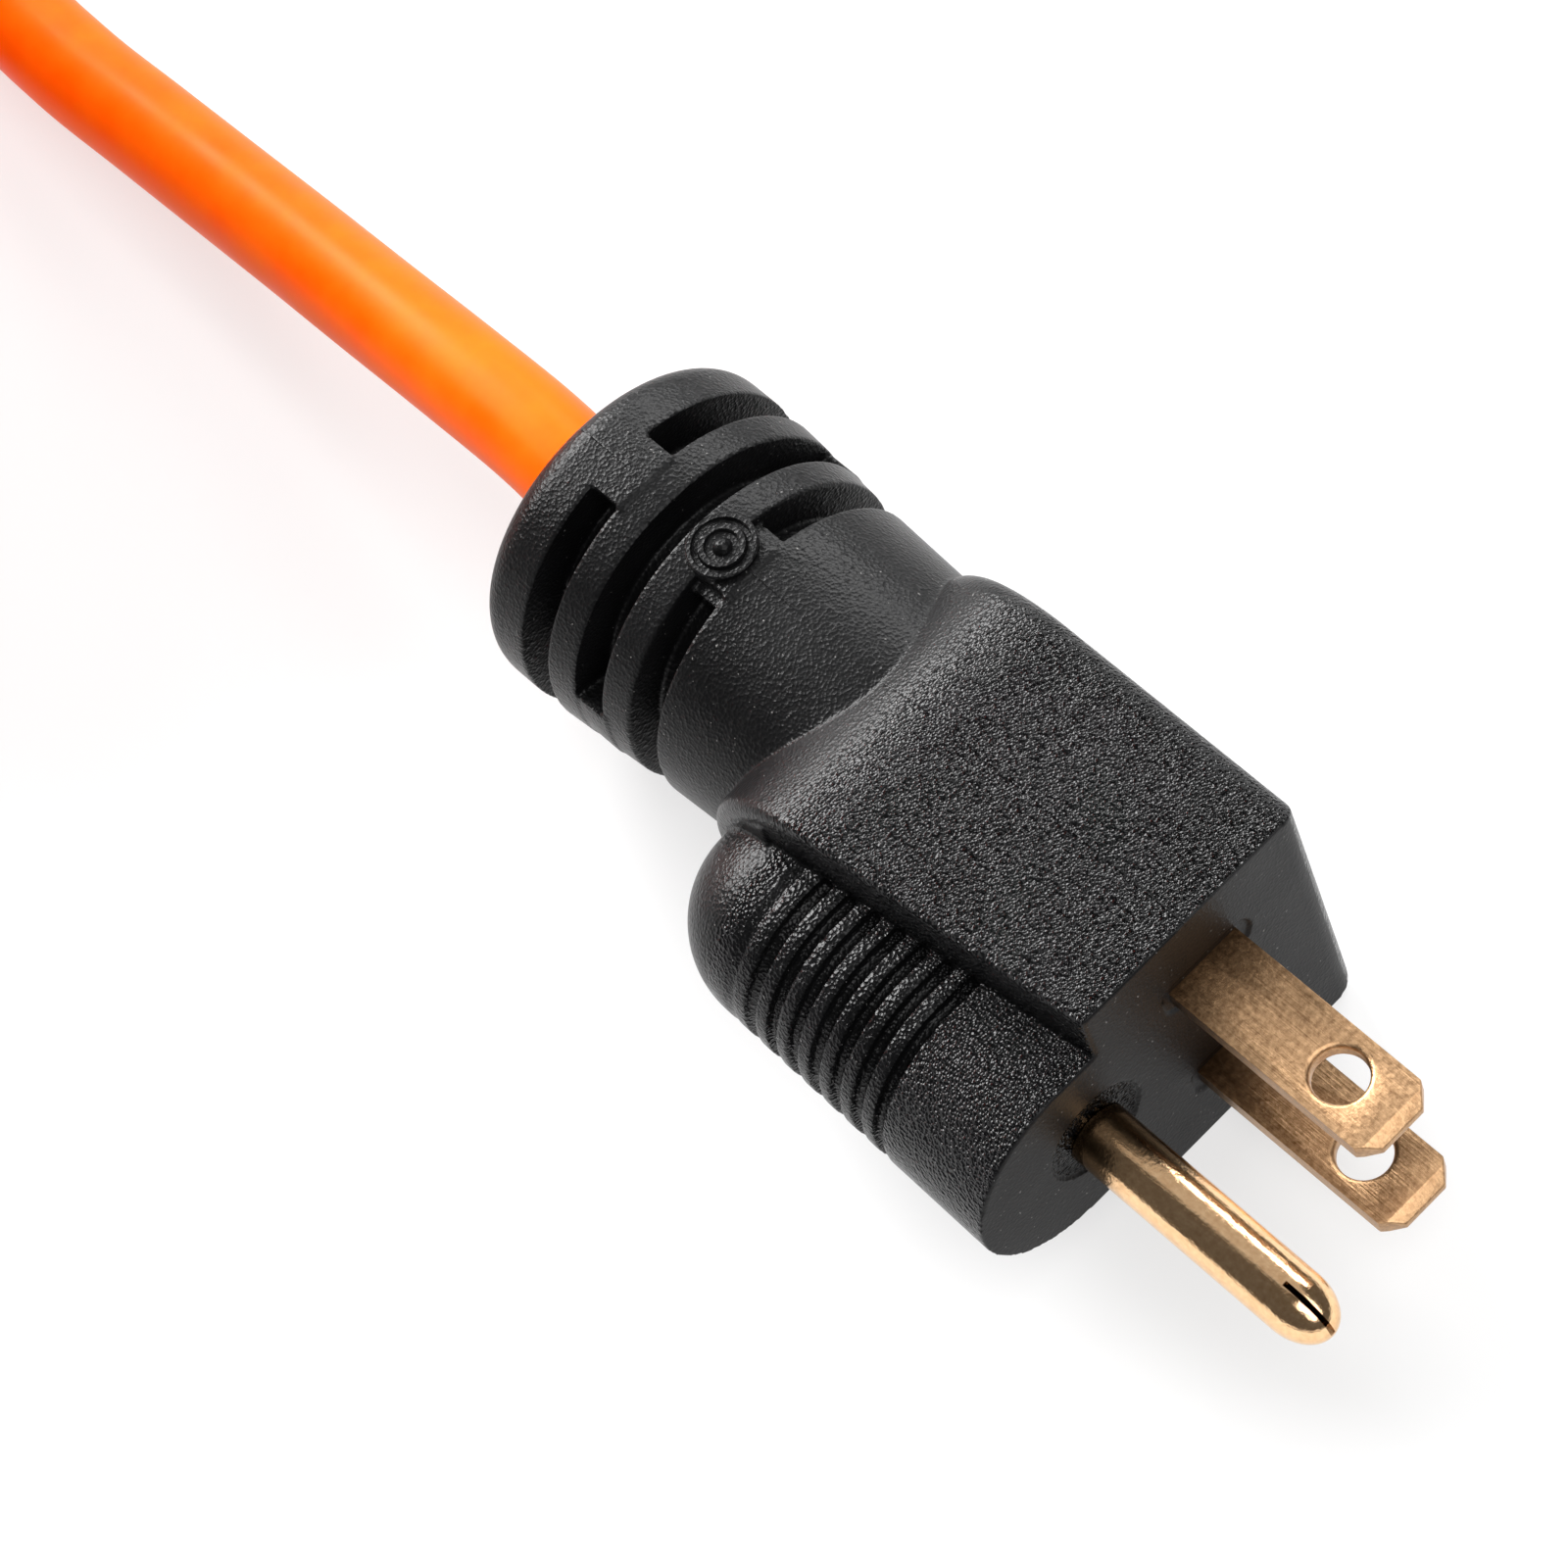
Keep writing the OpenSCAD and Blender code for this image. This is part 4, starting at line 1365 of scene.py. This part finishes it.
    def slab(self, low_y: float, high_y: float) -> bpy.types.Object:
        """A flat slab with a round back, from the face at the origin.

        Args:
            low_y: Where it starts along Y.
            high_y: Where it ends along Y.

        Returns:
            The slab.
        """
        piece = across(self.head_h / 2, low_y, high_y, -self.flat, 160)
        trim(piece, (-self.flat, 0, 0), (1, 0, 0), (self.flat, 0, 0))
        return piece

    def round_side(self, piece: bpy.types.Object, co: Point, normal: Point,
                   radius: float, at_back: float | None = None) -> None:
        """Cuts a slab along a plane and rounds the edges of the cut.

        Args:
            piece: The slab.
            co: A point on the plane.
            normal: The plane's normal, which points away from what stays.
            radius: The rounding.
            at_back: The rounding at the slab's back, if it grows on the way there.
        """
        way = Vector(normal).normalized()
        trim(piece, co, way)
        back = min(v.co.x for v in piece.data.vertices)

        def width(edge: bmesh.types.BMEdge) -> float:
            """The rounding of an edge, if it lies on the cut.

            Args:
                edge: The edge.

            Returns:
                The width, or 0 for an edge that lies elsewhere.
            """
            if any(abs((v.co - Vector(co)).dot(way)) > 1e-3 for v in edge.verts):
                return 0.0
            share = (edge.verts[0].co.x + edge.verts[1].co.x) / 2 / back
            return radius + ease(0.6, 0.95, share) * ((at_back or radius) - radius)

        bevel(piece, width, 6)

    def grain(self, piece: bpy.types.Object, share: Callable[[Vector], float]) -> None:
        """Writes how coarse the moulded grain is at each vertex.

        Args:
            piece: The skin.
            share: Takes a vertex's place and gives its grain, from 0 to 1.
        """
        layer = piece.data.attributes.new("grain", "FLOAT", "POINT")
        for vertex, value in zip(piece.data.vertices, layer.data):
            value.value = share(vertex.co)


@dataclass
class Plug(Moulding):
    """The grounding plug's moulding.

    Attributes:
        head_side: From the blades' line to the head's plain side.
        ledge_front: From the blades' line to its ledge, at the face.
        ledge_back: The same, where the round back starts.
        side_draft: How much the plain side slants.
        head_round: The rounding of the plain side's edges.
        ledge_round: The rounding of the ledge at the face.
        lip_round: The rounding of the ledge at the back.
        heel_drop: How far the heel lies under the head's lip.
        heel_start: From the start of the round back to the heel.
        housing_y: From the blades' line to the middle of the pin's housing.
        housing_in: From the blades' line to where the housing's walls end.
        housing_r_front: The housing's radius at the face.
        housing_r_back: Its radius at the back.
        housing_len: Its length, without its dome.
        groove_count: How many grooves it has.
        groove_start: From the face to the first groove.
        groove_pitch: The distance between grooves.
        groove_w: A groove's width.
        groove_deep: A groove's depth.
        pocket: The length and width of the pocket round each blade.
        pocket_deep: The pocket's depth.
        pin_ring: The radius of the hollow round the pin.
        pin_deep: The hollow's depth.
        seam_ahead: How far ahead of the head the seam on it is set.
    """

    head_side: float = 10.8
    ledge_front: float = 10.0
    ledge_back: float = 12.3
    side_draft: float = 0.02
    head_round: float = 1.8
    ledge_round: float = 0.45
    lip_round: float = 1.2
    heel_drop: float = 1.7
    heel_start: float = 6.5
    housing_y: float = 13.9
    housing_in: float = 4.0
    housing_r_front: float = 8.7
    housing_r_back: float = 8.2
    housing_len: float = 26.2
    groove_count: int = 8
    groove_start: float = 10.2
    groove_pitch: float = 2.14
    groove_w: float = 1.0
    groove_deep: float = 0.75
    pocket: tuple[float, float] = (8.6, 3.7)
    pocket_deep: float = 0.22
    pin_ring: float = 4.1
    pin_deep: float = 0.3
    seam_ahead: float = 0.02

    def head(self) -> bpy.types.Object:
        """The round-backed head, whose ledge side slants outwards to the back.

        Returns:
            The head.
        """
        piece = self.slab(-2 * self.head_side, 2 * self.head_side)
        self.round_side(piece, (0, self.head_side, 0), (0, 1, self.side_draft),
                        self.head_round)
        rise = self.ledge_back - self.ledge_front
        self.round_side(piece, (0, -self.ledge_front, 0), (rise, -self.flat, 0),
                        self.ledge_round, self.lip_round)
        return piece

    def housing_radius(self, x: float) -> float:
        """The barrel's radius at a place behind the face."""
        share = -x / self.housing_len
        return self.housing_r_front + share * (self.housing_r_back - self.housing_r_front)

    def barrel(self, start: float, end: float, shrink: float) -> bpy.types.Object:
        """A stretch of the barrel round the pin, with its walls up to the head.

        Args:
            start: Where it starts on X.
            end: Where it ends on X.
            shrink: How far inside the barrel's skin it lies.

        Returns:
            The stretch.
        """
        piece = turned(self.housing_radius(start) - shrink, start, end,
                       self.housing_radius(end) - shrink, 128)
        axis = (0, -self.housing_y, 0)
        move(piece, axis)
        trim(piece, axis, (0, 1, 0), (0, self.housing_y - self.housing_in, 0))
        return piece

    def housing(self) -> list[bpy.types.Object]:
        """The ribbed barrel: its front, its ribs, a core, and the dome at its back.

        Returns:
            Overlapping shells, the front one first.
        """
        grooves = [-self.groove_start - i * self.groove_pitch
                   for i in range(self.groove_count)]
        half = self.groove_w / 2
        starts = [*[g + half for g in grooves], -self.housing_len]
        ends = [0.0, *[g - half for g in grooves]]
        shells = [self.barrel(a, b, 0.0) for a, b in zip(starts, ends)]
        shells.append(self.barrel(-self.housing_len, starts[0] + 1, self.groove_deep))
        bpy.ops.mesh.primitive_uv_sphere_add(segments=96, ring_count=48,
                                             radius=self.housing_r_back)
        shells.append(move(bpy.context.object, (-self.housing_len, -self.housing_y, 0)))
        web = across(self.housing_r_back, -self.housing_y, -self.housing_in,
                     -self.housing_len)
        return [*shells, web, self.heel()]

    def heel(self) -> bpy.types.Object:
        """The low step under the head's lip, at its back.

        Returns:
            The step.
        """
        piece = across(self.head_h / 2 - self.heel_drop, -self.ledge_back - 0.9,
                       -self.housing_in, -self.flat)
        trim(piece, (-self.flat - self.heel_start, 0, 0), (1, 0, 0))
        return piece

    def moulding(self) -> bpy.types.Object:
        """The whole black moulding: one skin, with the pad and the seams on it.

        Returns:
            The moulding, on the bench.
        """
        front, *barrel = self.housing()
        head = self.head()
        for side in (-1, 1):
            cut([head], stadium(*self.pocket, -self.pocket_deep, 1,
                                (0, side * self.blade_z)))
        cut([head, front],
            move(turned(self.pin_ring, -self.pin_deep, 1), (0, -self.pin_y, 0)))
        neck, on_neck = self.whole_neck()
        top_seam = move(self.head_seam(-self.seam_ahead), (self.seam_ahead, 0, 0))
        return self.skin("plug_moulding", [head, front, *barrel, *neck],
                         [*on_neck, top_seam])

    def grain_at(self, at: Vector) -> float:
        """Coarse grain on the head and the barrel, and fine grain elsewhere.

        Args:
            at: A point of the skin.

        Returns:
            How coarse the grain is there, from 0 to 1.
        """
        if at.x > -0.25:
            return self.face_grain
        if at.y < -self.ledge_back - 0.3:
            ribbed = ease(9.0, 10.5, -at.x) - ease(26.0, 27.0, -at.x)
            return 0.95 - 0.5 * ribbed - 0.6 * ease(26.0, 28.0, -at.x)
        return 1.0 - 0.72 * ease(self.flat - 1, self.flat + 7, -at.x)

    def build(self) -> bpy.types.Object:
        """Makes and dresses the plug's moulding.

        Returns:
            The moulding.
        """
        piece = self.moulding()
        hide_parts("plug_body")
        return set_down(piece, "plug_moulding", self.place, BLACK_MOULDING,
                        "plug_moulding")


@dataclass
class Connector(Moulding):
    """The moulded connector at the cord's far end, where the skin is less fine.

    Attributes:
        length: From the face to the neck's mouth.
        flat: From the face to where the head's round back starts.
        voxel: How fine the skin is.
        triangles: The most triangles that the skin may have.
        width: The head's width.
        middle: From the blades' line to the head's middle, on the pin's side.
        side_round: The rounding of the head's long edges.
        groove_count: How many grooves each side of the grip has.
        groove_start: From the face to the first groove.
        groove_pitch: The distance between grooves.
        groove_w: A groove's width.
        groove_deep: A groove's depth.
        groove_len: A groove's length.
        slit_w: The width of the openings for the blades.
        line_slit: The height of the line blade's opening.
        neutral_slit: The height of the neutral blade's opening.
        ground_hole: The radius of the ground pin's opening.
        face_deep: How deep the openings go.
    """

    length: float = 66.4
    flat: float = 28.0
    voxel: float = 0.25
    triangles: int = 120000
    width: float = 28.0
    middle: float = 5.2
    side_round: float = 2.4
    groove_count: int = 7
    groove_start: float = 8.0
    groove_pitch: float = 2.14
    groove_w: float = 1.0
    groove_deep: float = 0.8
    groove_len: float = 18.0
    slit_w: float = 2.0
    line_slit: float = 6.9
    neutral_slit: float = 8.1
    ground_hole: float = 2.65
    face_deep: float = 3.1

    def grooves(self) -> bpy.types.Object:
        """The bars that cut the grip's grooves out of both flat sides.

        Returns:
            The bars, as one piece.
        """
        half = Vector((self.groove_w / 2, self.groove_len / 2, self.groove_deep))
        bars = []
        for i in range(self.groove_count):
            for side in (-1, 1):
                at = Vector((-self.groove_start - i * self.groove_pitch, -self.middle,
                             side * self.head_h / 2))
                bars.append(block(at - half, at + half))
        return gather(bars, "grooves")

    def openings(self) -> bpy.types.Object:
        """The bars that cut the two slots and the ground hole out of the face.

        Returns:
            The bars, as one piece.
        """
        bars = [move(turned(self.ground_hole, -self.face_deep, 1), (0, -self.pin_y, 0))]
        for side, slit in ((-1, self.line_slit), (1, self.neutral_slit)):
            z = side * self.blade_z
            bars.append(block((-self.face_deep, -slit / 2, z - self.slit_w / 2),
                              (1, slit / 2, z + self.slit_w / 2)))
        return gather(bars, "openings")

    def head(self) -> bpy.types.Object:
        """The round-backed head with its grip and its openings.

        Returns:
            The head.
        """
        piece = self.slab(-self.middle - self.width, self.width - self.middle)
        for way in (-1, 1):
            self.round_side(piece, (0, way * self.width / 2 - self.middle, 0),
                            (0, way, 0), self.side_round)
        cut([piece], self.grooves())
        cut([piece], self.openings())
        return piece

    def grain_at(self, at: Vector) -> float:
        """Fine grain on the face and the neck, and coarse grain on the head."""
        coarse = 1.0 - 0.65 * ease(self.flat, self.flat + 7, -at.x)
        return self.face_grain if at.x > -0.25 else coarse

    def build(self) -> bpy.types.Object:
        """Makes and dresses the connector's moulding.

        Returns:
            The moulding.
        """
        neck, on_neck = self.whole_neck()
        last = -self.groove_start - (self.groove_count - 1) * self.groove_pitch
        ridges = [*on_neck, self.head_seam(last - self.groove_w)]
        piece = self.skin("connector_moulding", [self.head(), *neck], ridges)
        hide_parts("connector_body")
        return set_down(piece, "connector_moulding", self.place, BLACK_MOULDING,
                        "plug_moulding")


# --------------------------------------------------------------- other new pieces


@dataclass
class Prongs:
    """The blades and the pin, in millimetres.

    Attributes:
        place: From the bench to the plug's face.
        hole_x: How far in front of the face a blade's hole is.
        hole_r: The hole's radius.
        hole_ring: The width of the bevel round the hole.
        edge: The width of the rounding on every other edge.
        sharp: The least angle, in radians, of an edge that is rounded.
        pin_y: The distance from the blades' line to the pin.
        pin_r: The pin's radius.
        pin_len: Its length in front of the face.
        nose_len: The length of its round nose.
        pin_wall: The thickness of its rolled wall.
        nose_slit: The width of the seam that stays open at the nose.
    """

    place: Matrix
    hole_x: float = 12.3
    hole_r: float = 1.985
    hole_ring: float = 0.42
    edge: float = 0.1
    sharp: float = 0.35
    pin_y: float = 11.89
    pin_r: float = 2.375
    pin_len: float = 21.8
    nose_len: float = 3.4
    pin_wall: float = 0.7
    nose_slit: float = 0.4

    def copied(self, node: str) -> bpy.types.Object:
        """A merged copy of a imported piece, on the bench.

        Args:
            node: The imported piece's name.

        Returns:
            The copy.
        """
        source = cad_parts[node]
        piece = bpy.data.objects.new(node, source.data.copy())
        bpy.context.scene.collection.objects.link(piece)
        piece.data.transform(self.place.inverted() @ source.matrix_world)
        hold(piece)
        bpy.ops.mesh.customdata_custom_splitnormals_clear()
        with editing(piece):
            bpy.ops.mesh.select_all(action="SELECT")
            bpy.ops.mesh.remove_doubles(threshold=0.002)
            bpy.ops.mesh.dissolve_limited(angle_limit=0.01)
            face_out()
        return piece

    def blade_edge(self, edge: bmesh.types.BMEdge) -> float:
        """How wide the rounding of one of a blade's edges is.

        Args:
            edge: The edge.

        Returns:
            The width, or 0 for an edge that stays as it is.
        """
        ends = [v.co for v in edge.verts]
        if min(at.x for at in ends) < 0.2 or edge.calc_face_angle(0.0) < self.sharp:
            return 0.0
        on_hole = all(abs(math.hypot(at.x - self.hole_x, at.y) - self.hole_r) < 0.05
                      for at in ends)
        return self.hole_ring if on_hole else self.edge

    def blade(self, node: str) -> bpy.types.Object:
        """A blade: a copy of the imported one, with its edges eased.

        Args:
            node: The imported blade's name.

        Returns:
            The blade, on the bench.
        """
        piece = self.copied(node)
        bevel(piece, self.blade_edge, 3, clamp=False)
        return piece

    def nose(self, shrink: float) -> list[tuple[float, float]]:
        """The outline of the pin's nose.

        Args:
            shrink: How far inside the pin's skin it lies.

        Returns:
            Places on the axis, each with a radius, out to the tip.
        """
        angles = [math.pi / 2 * i / 20 for i in range(21)]
        return [(self.pin_len - self.nose_len
                 + (self.nose_len - shrink) * math.sin(a),
                 max((self.pin_r - shrink) * math.cos(a), 0.01)) for a in angles]

    def pin(self) -> bpy.types.Object:
        """The rolled pin: a hollow shell with a slit nose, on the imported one's shank.

        Returns:
            The pin, on the bench.
        """
        wall, radius = self.pin_wall, self.pin_r
        shell = spun([(0, 0.01), (0, radius - 0.1), (0.1, radius), *self.nose(0),
                      *reversed(self.nose(wall)), (wall, radius - wall), (wall, 0.01)])
        start = self.pin_len - self.nose_len * 7 / 6
        cut([shell], block((start, -self.nose_slit / 2, 0),
                           (self.pin_len + 1, self.nose_slit / 2, radius + 1)))
        bevel(shell, lambda edge: self.edge * (
            edge.calc_face_angle(0.0) > 1.0 and min(v.co.x for v in edge.verts) > 1), 2)
        shank = self.copied("ground_pin")
        trim(shank, (0, 0, 0), (1, 0, 0))
        return gather([move(shell, (0, -self.pin_y, 0)), shank], "ground_pin_metal")

    def build(self) -> list[bpy.types.Object]:
        """Makes and dresses both blades and the pin.

        Returns:
            The three pieces.
        """
        made = [(self.blade("line_blade"), "line_blade", BLADE_BRASS),
                (self.blade("neutral_blade"), "neutral_blade", BLADE_BRASS),
                (self.pin(), "ground_pin", PIN_BRASS)]
        for piece, node, finish in made:
            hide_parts(node)
            set_down(piece, node + "_metal", self.place, finish, finish.name, 40.0)
        return [piece for piece, *_ in made]


@dataclass
class Strap:
    """The strap round the coil, which laps over itself on the outside.

    Attributes:
        low: The lowest corner of its box, in millimetres.
        high: The highest corner of its box.
        thick: Its thickness.
        corner: The outer radius of its corners.
        lap: Where the lap starts and ends, up the outer side.
        lap_rise: How far the lap stands out.
        voxel: How fine its skin is.
    """

    low: Vector
    high: Vector
    thick: float = 1.2
    corner: float = 4.05
    lap: tuple[float, float] = (18.0, 44.0)
    lap_rise: float = 0.7
    voxel: float = 0.3

    def rounded(self, inset: float, past: float) -> bpy.types.Object:
        """A bar along X through the strap, with round corners.

        Args:
            inset: How far inside the strap's outer side it lies.
            past: How far it goes past the strap's edges.

        Returns:
            The bar.
        """
        room = Vector((-past, inset, inset))
        piece = block(self.low + room, self.high - room)
        bevel(piece, lambda edge: (self.corner - inset) * all(
            abs(edge.verts[0].co[k] - edge.verts[1].co[k]) < 0.01 for k in (1, 2)), 8)
        return piece

    def build(self) -> bpy.types.Object:
        """Makes and dresses the strap.

        Returns:
            The strap.
        """
        band = self.rounded(0.0, 0.0)
        cut([band], self.rounded(self.thick, 2.0))
        side = self.high.y
        lap = block((self.low.x, side - self.thick / 2, self.low.z + self.lap[0]),
                    (self.high.x, side + self.lap_rise, self.low.z + self.lap[1]))
        piece = gather([band, lap], "coil_strap")
        soften(piece, self.voxel, 3, 60000)
        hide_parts("coil_tie")
        return set_down(piece, "coil_strap", Matrix.Scale(MM, 4), TIE_TAPE,
                        "tie_fabric")


# ---------------------------------------------------------------- carried over


CARRIED: dict[str, Finish] = {
    "blade_bridge": BRIDGE_NYLON,
    "plug_line_lead": BLACK_WIRE,
    "plug_neutral_lead": WHITE_WIRE,
    "plug_ground_lead": GREEN_WIRE,
    "plug_line_strands": BARE_COPPER,
    "plug_neutral_strands": BARE_COPPER,
    "plug_ground_strands": BARE_COPPER,
    "plug_jacket_end": ORANGE_JACKET,
    "contact_block": IVORY_NYLON,
    "line_contact": CONTACT_BRASS,
    "neutral_contact": CONTACT_BRASS,
    "ground_contact": CONTACT_BRASS,
    "connector_line_lead": BLACK_WIRE,
    "connector_neutral_lead": WHITE_WIRE,
    "connector_ground_lead": GREEN_WIRE,
    "connector_line_strands": BARE_COPPER,
    "connector_neutral_strands": BARE_COPPER,
    "connector_ground_strands": BARE_COPPER,
    "connector_jacket_end": ORANGE_JACKET,
}


def dress_nodes() -> None:
    """Gives every CAD node that is carried over its finish."""
    for name, finish in CARRIED.items():
        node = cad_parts[name]
        node.data.materials.clear()
        node.data.materials.append(finish.material())
        log.info("%s: carried over in %s", name, finish.name)


def middle(node: str) -> Vector:
    """The middle of a CAD node's box."""
    low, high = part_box(node)
    return (Vector(low) + Vector(high)) / 2


def main() -> None:
    """Builds the studio, the cord and the pieces on it, in that order."""
    plug_face = Vector((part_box("plug_body")[1][0], middle("line_blade").y,
                        middle("ground_pin").z))
    Studio().build(plug_face)
    plug_place = Matrix.Translation(plug_face) @ Matrix.Scale(MM, 4)
    plug = Plug(plug_place)
    mouth = plug_place @ Vector((-plug.length, -plug.neck_shift, 0))
    far_mouth = Vector((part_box("connector_body")[0][0],
                        middle("connector_jacket_end").y,
                        middle("connector_body").z))
    cord = Cord(mouth, far_mouth)
    jacket = cord.build()
    plug.build()
    Prongs(plug_place).build()
    face = Vector((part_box("connector_body")[1][0], far_mouth.y + MM * plug.neck_shift,
                   far_mouth.z))
    connector = Connector(Matrix.Translation(face) @ Matrix.Scale(MM, 4))
    low, high = (Vector(corner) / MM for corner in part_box("coil_tie"))
    new_on_cord = [connector.build(), Strap(low, high).build()]
    dress_nodes()
    cord.declare()


if __name__ == "__main__":
    logging.basicConfig(level=logging.INFO, format="%(message)s")
    main()
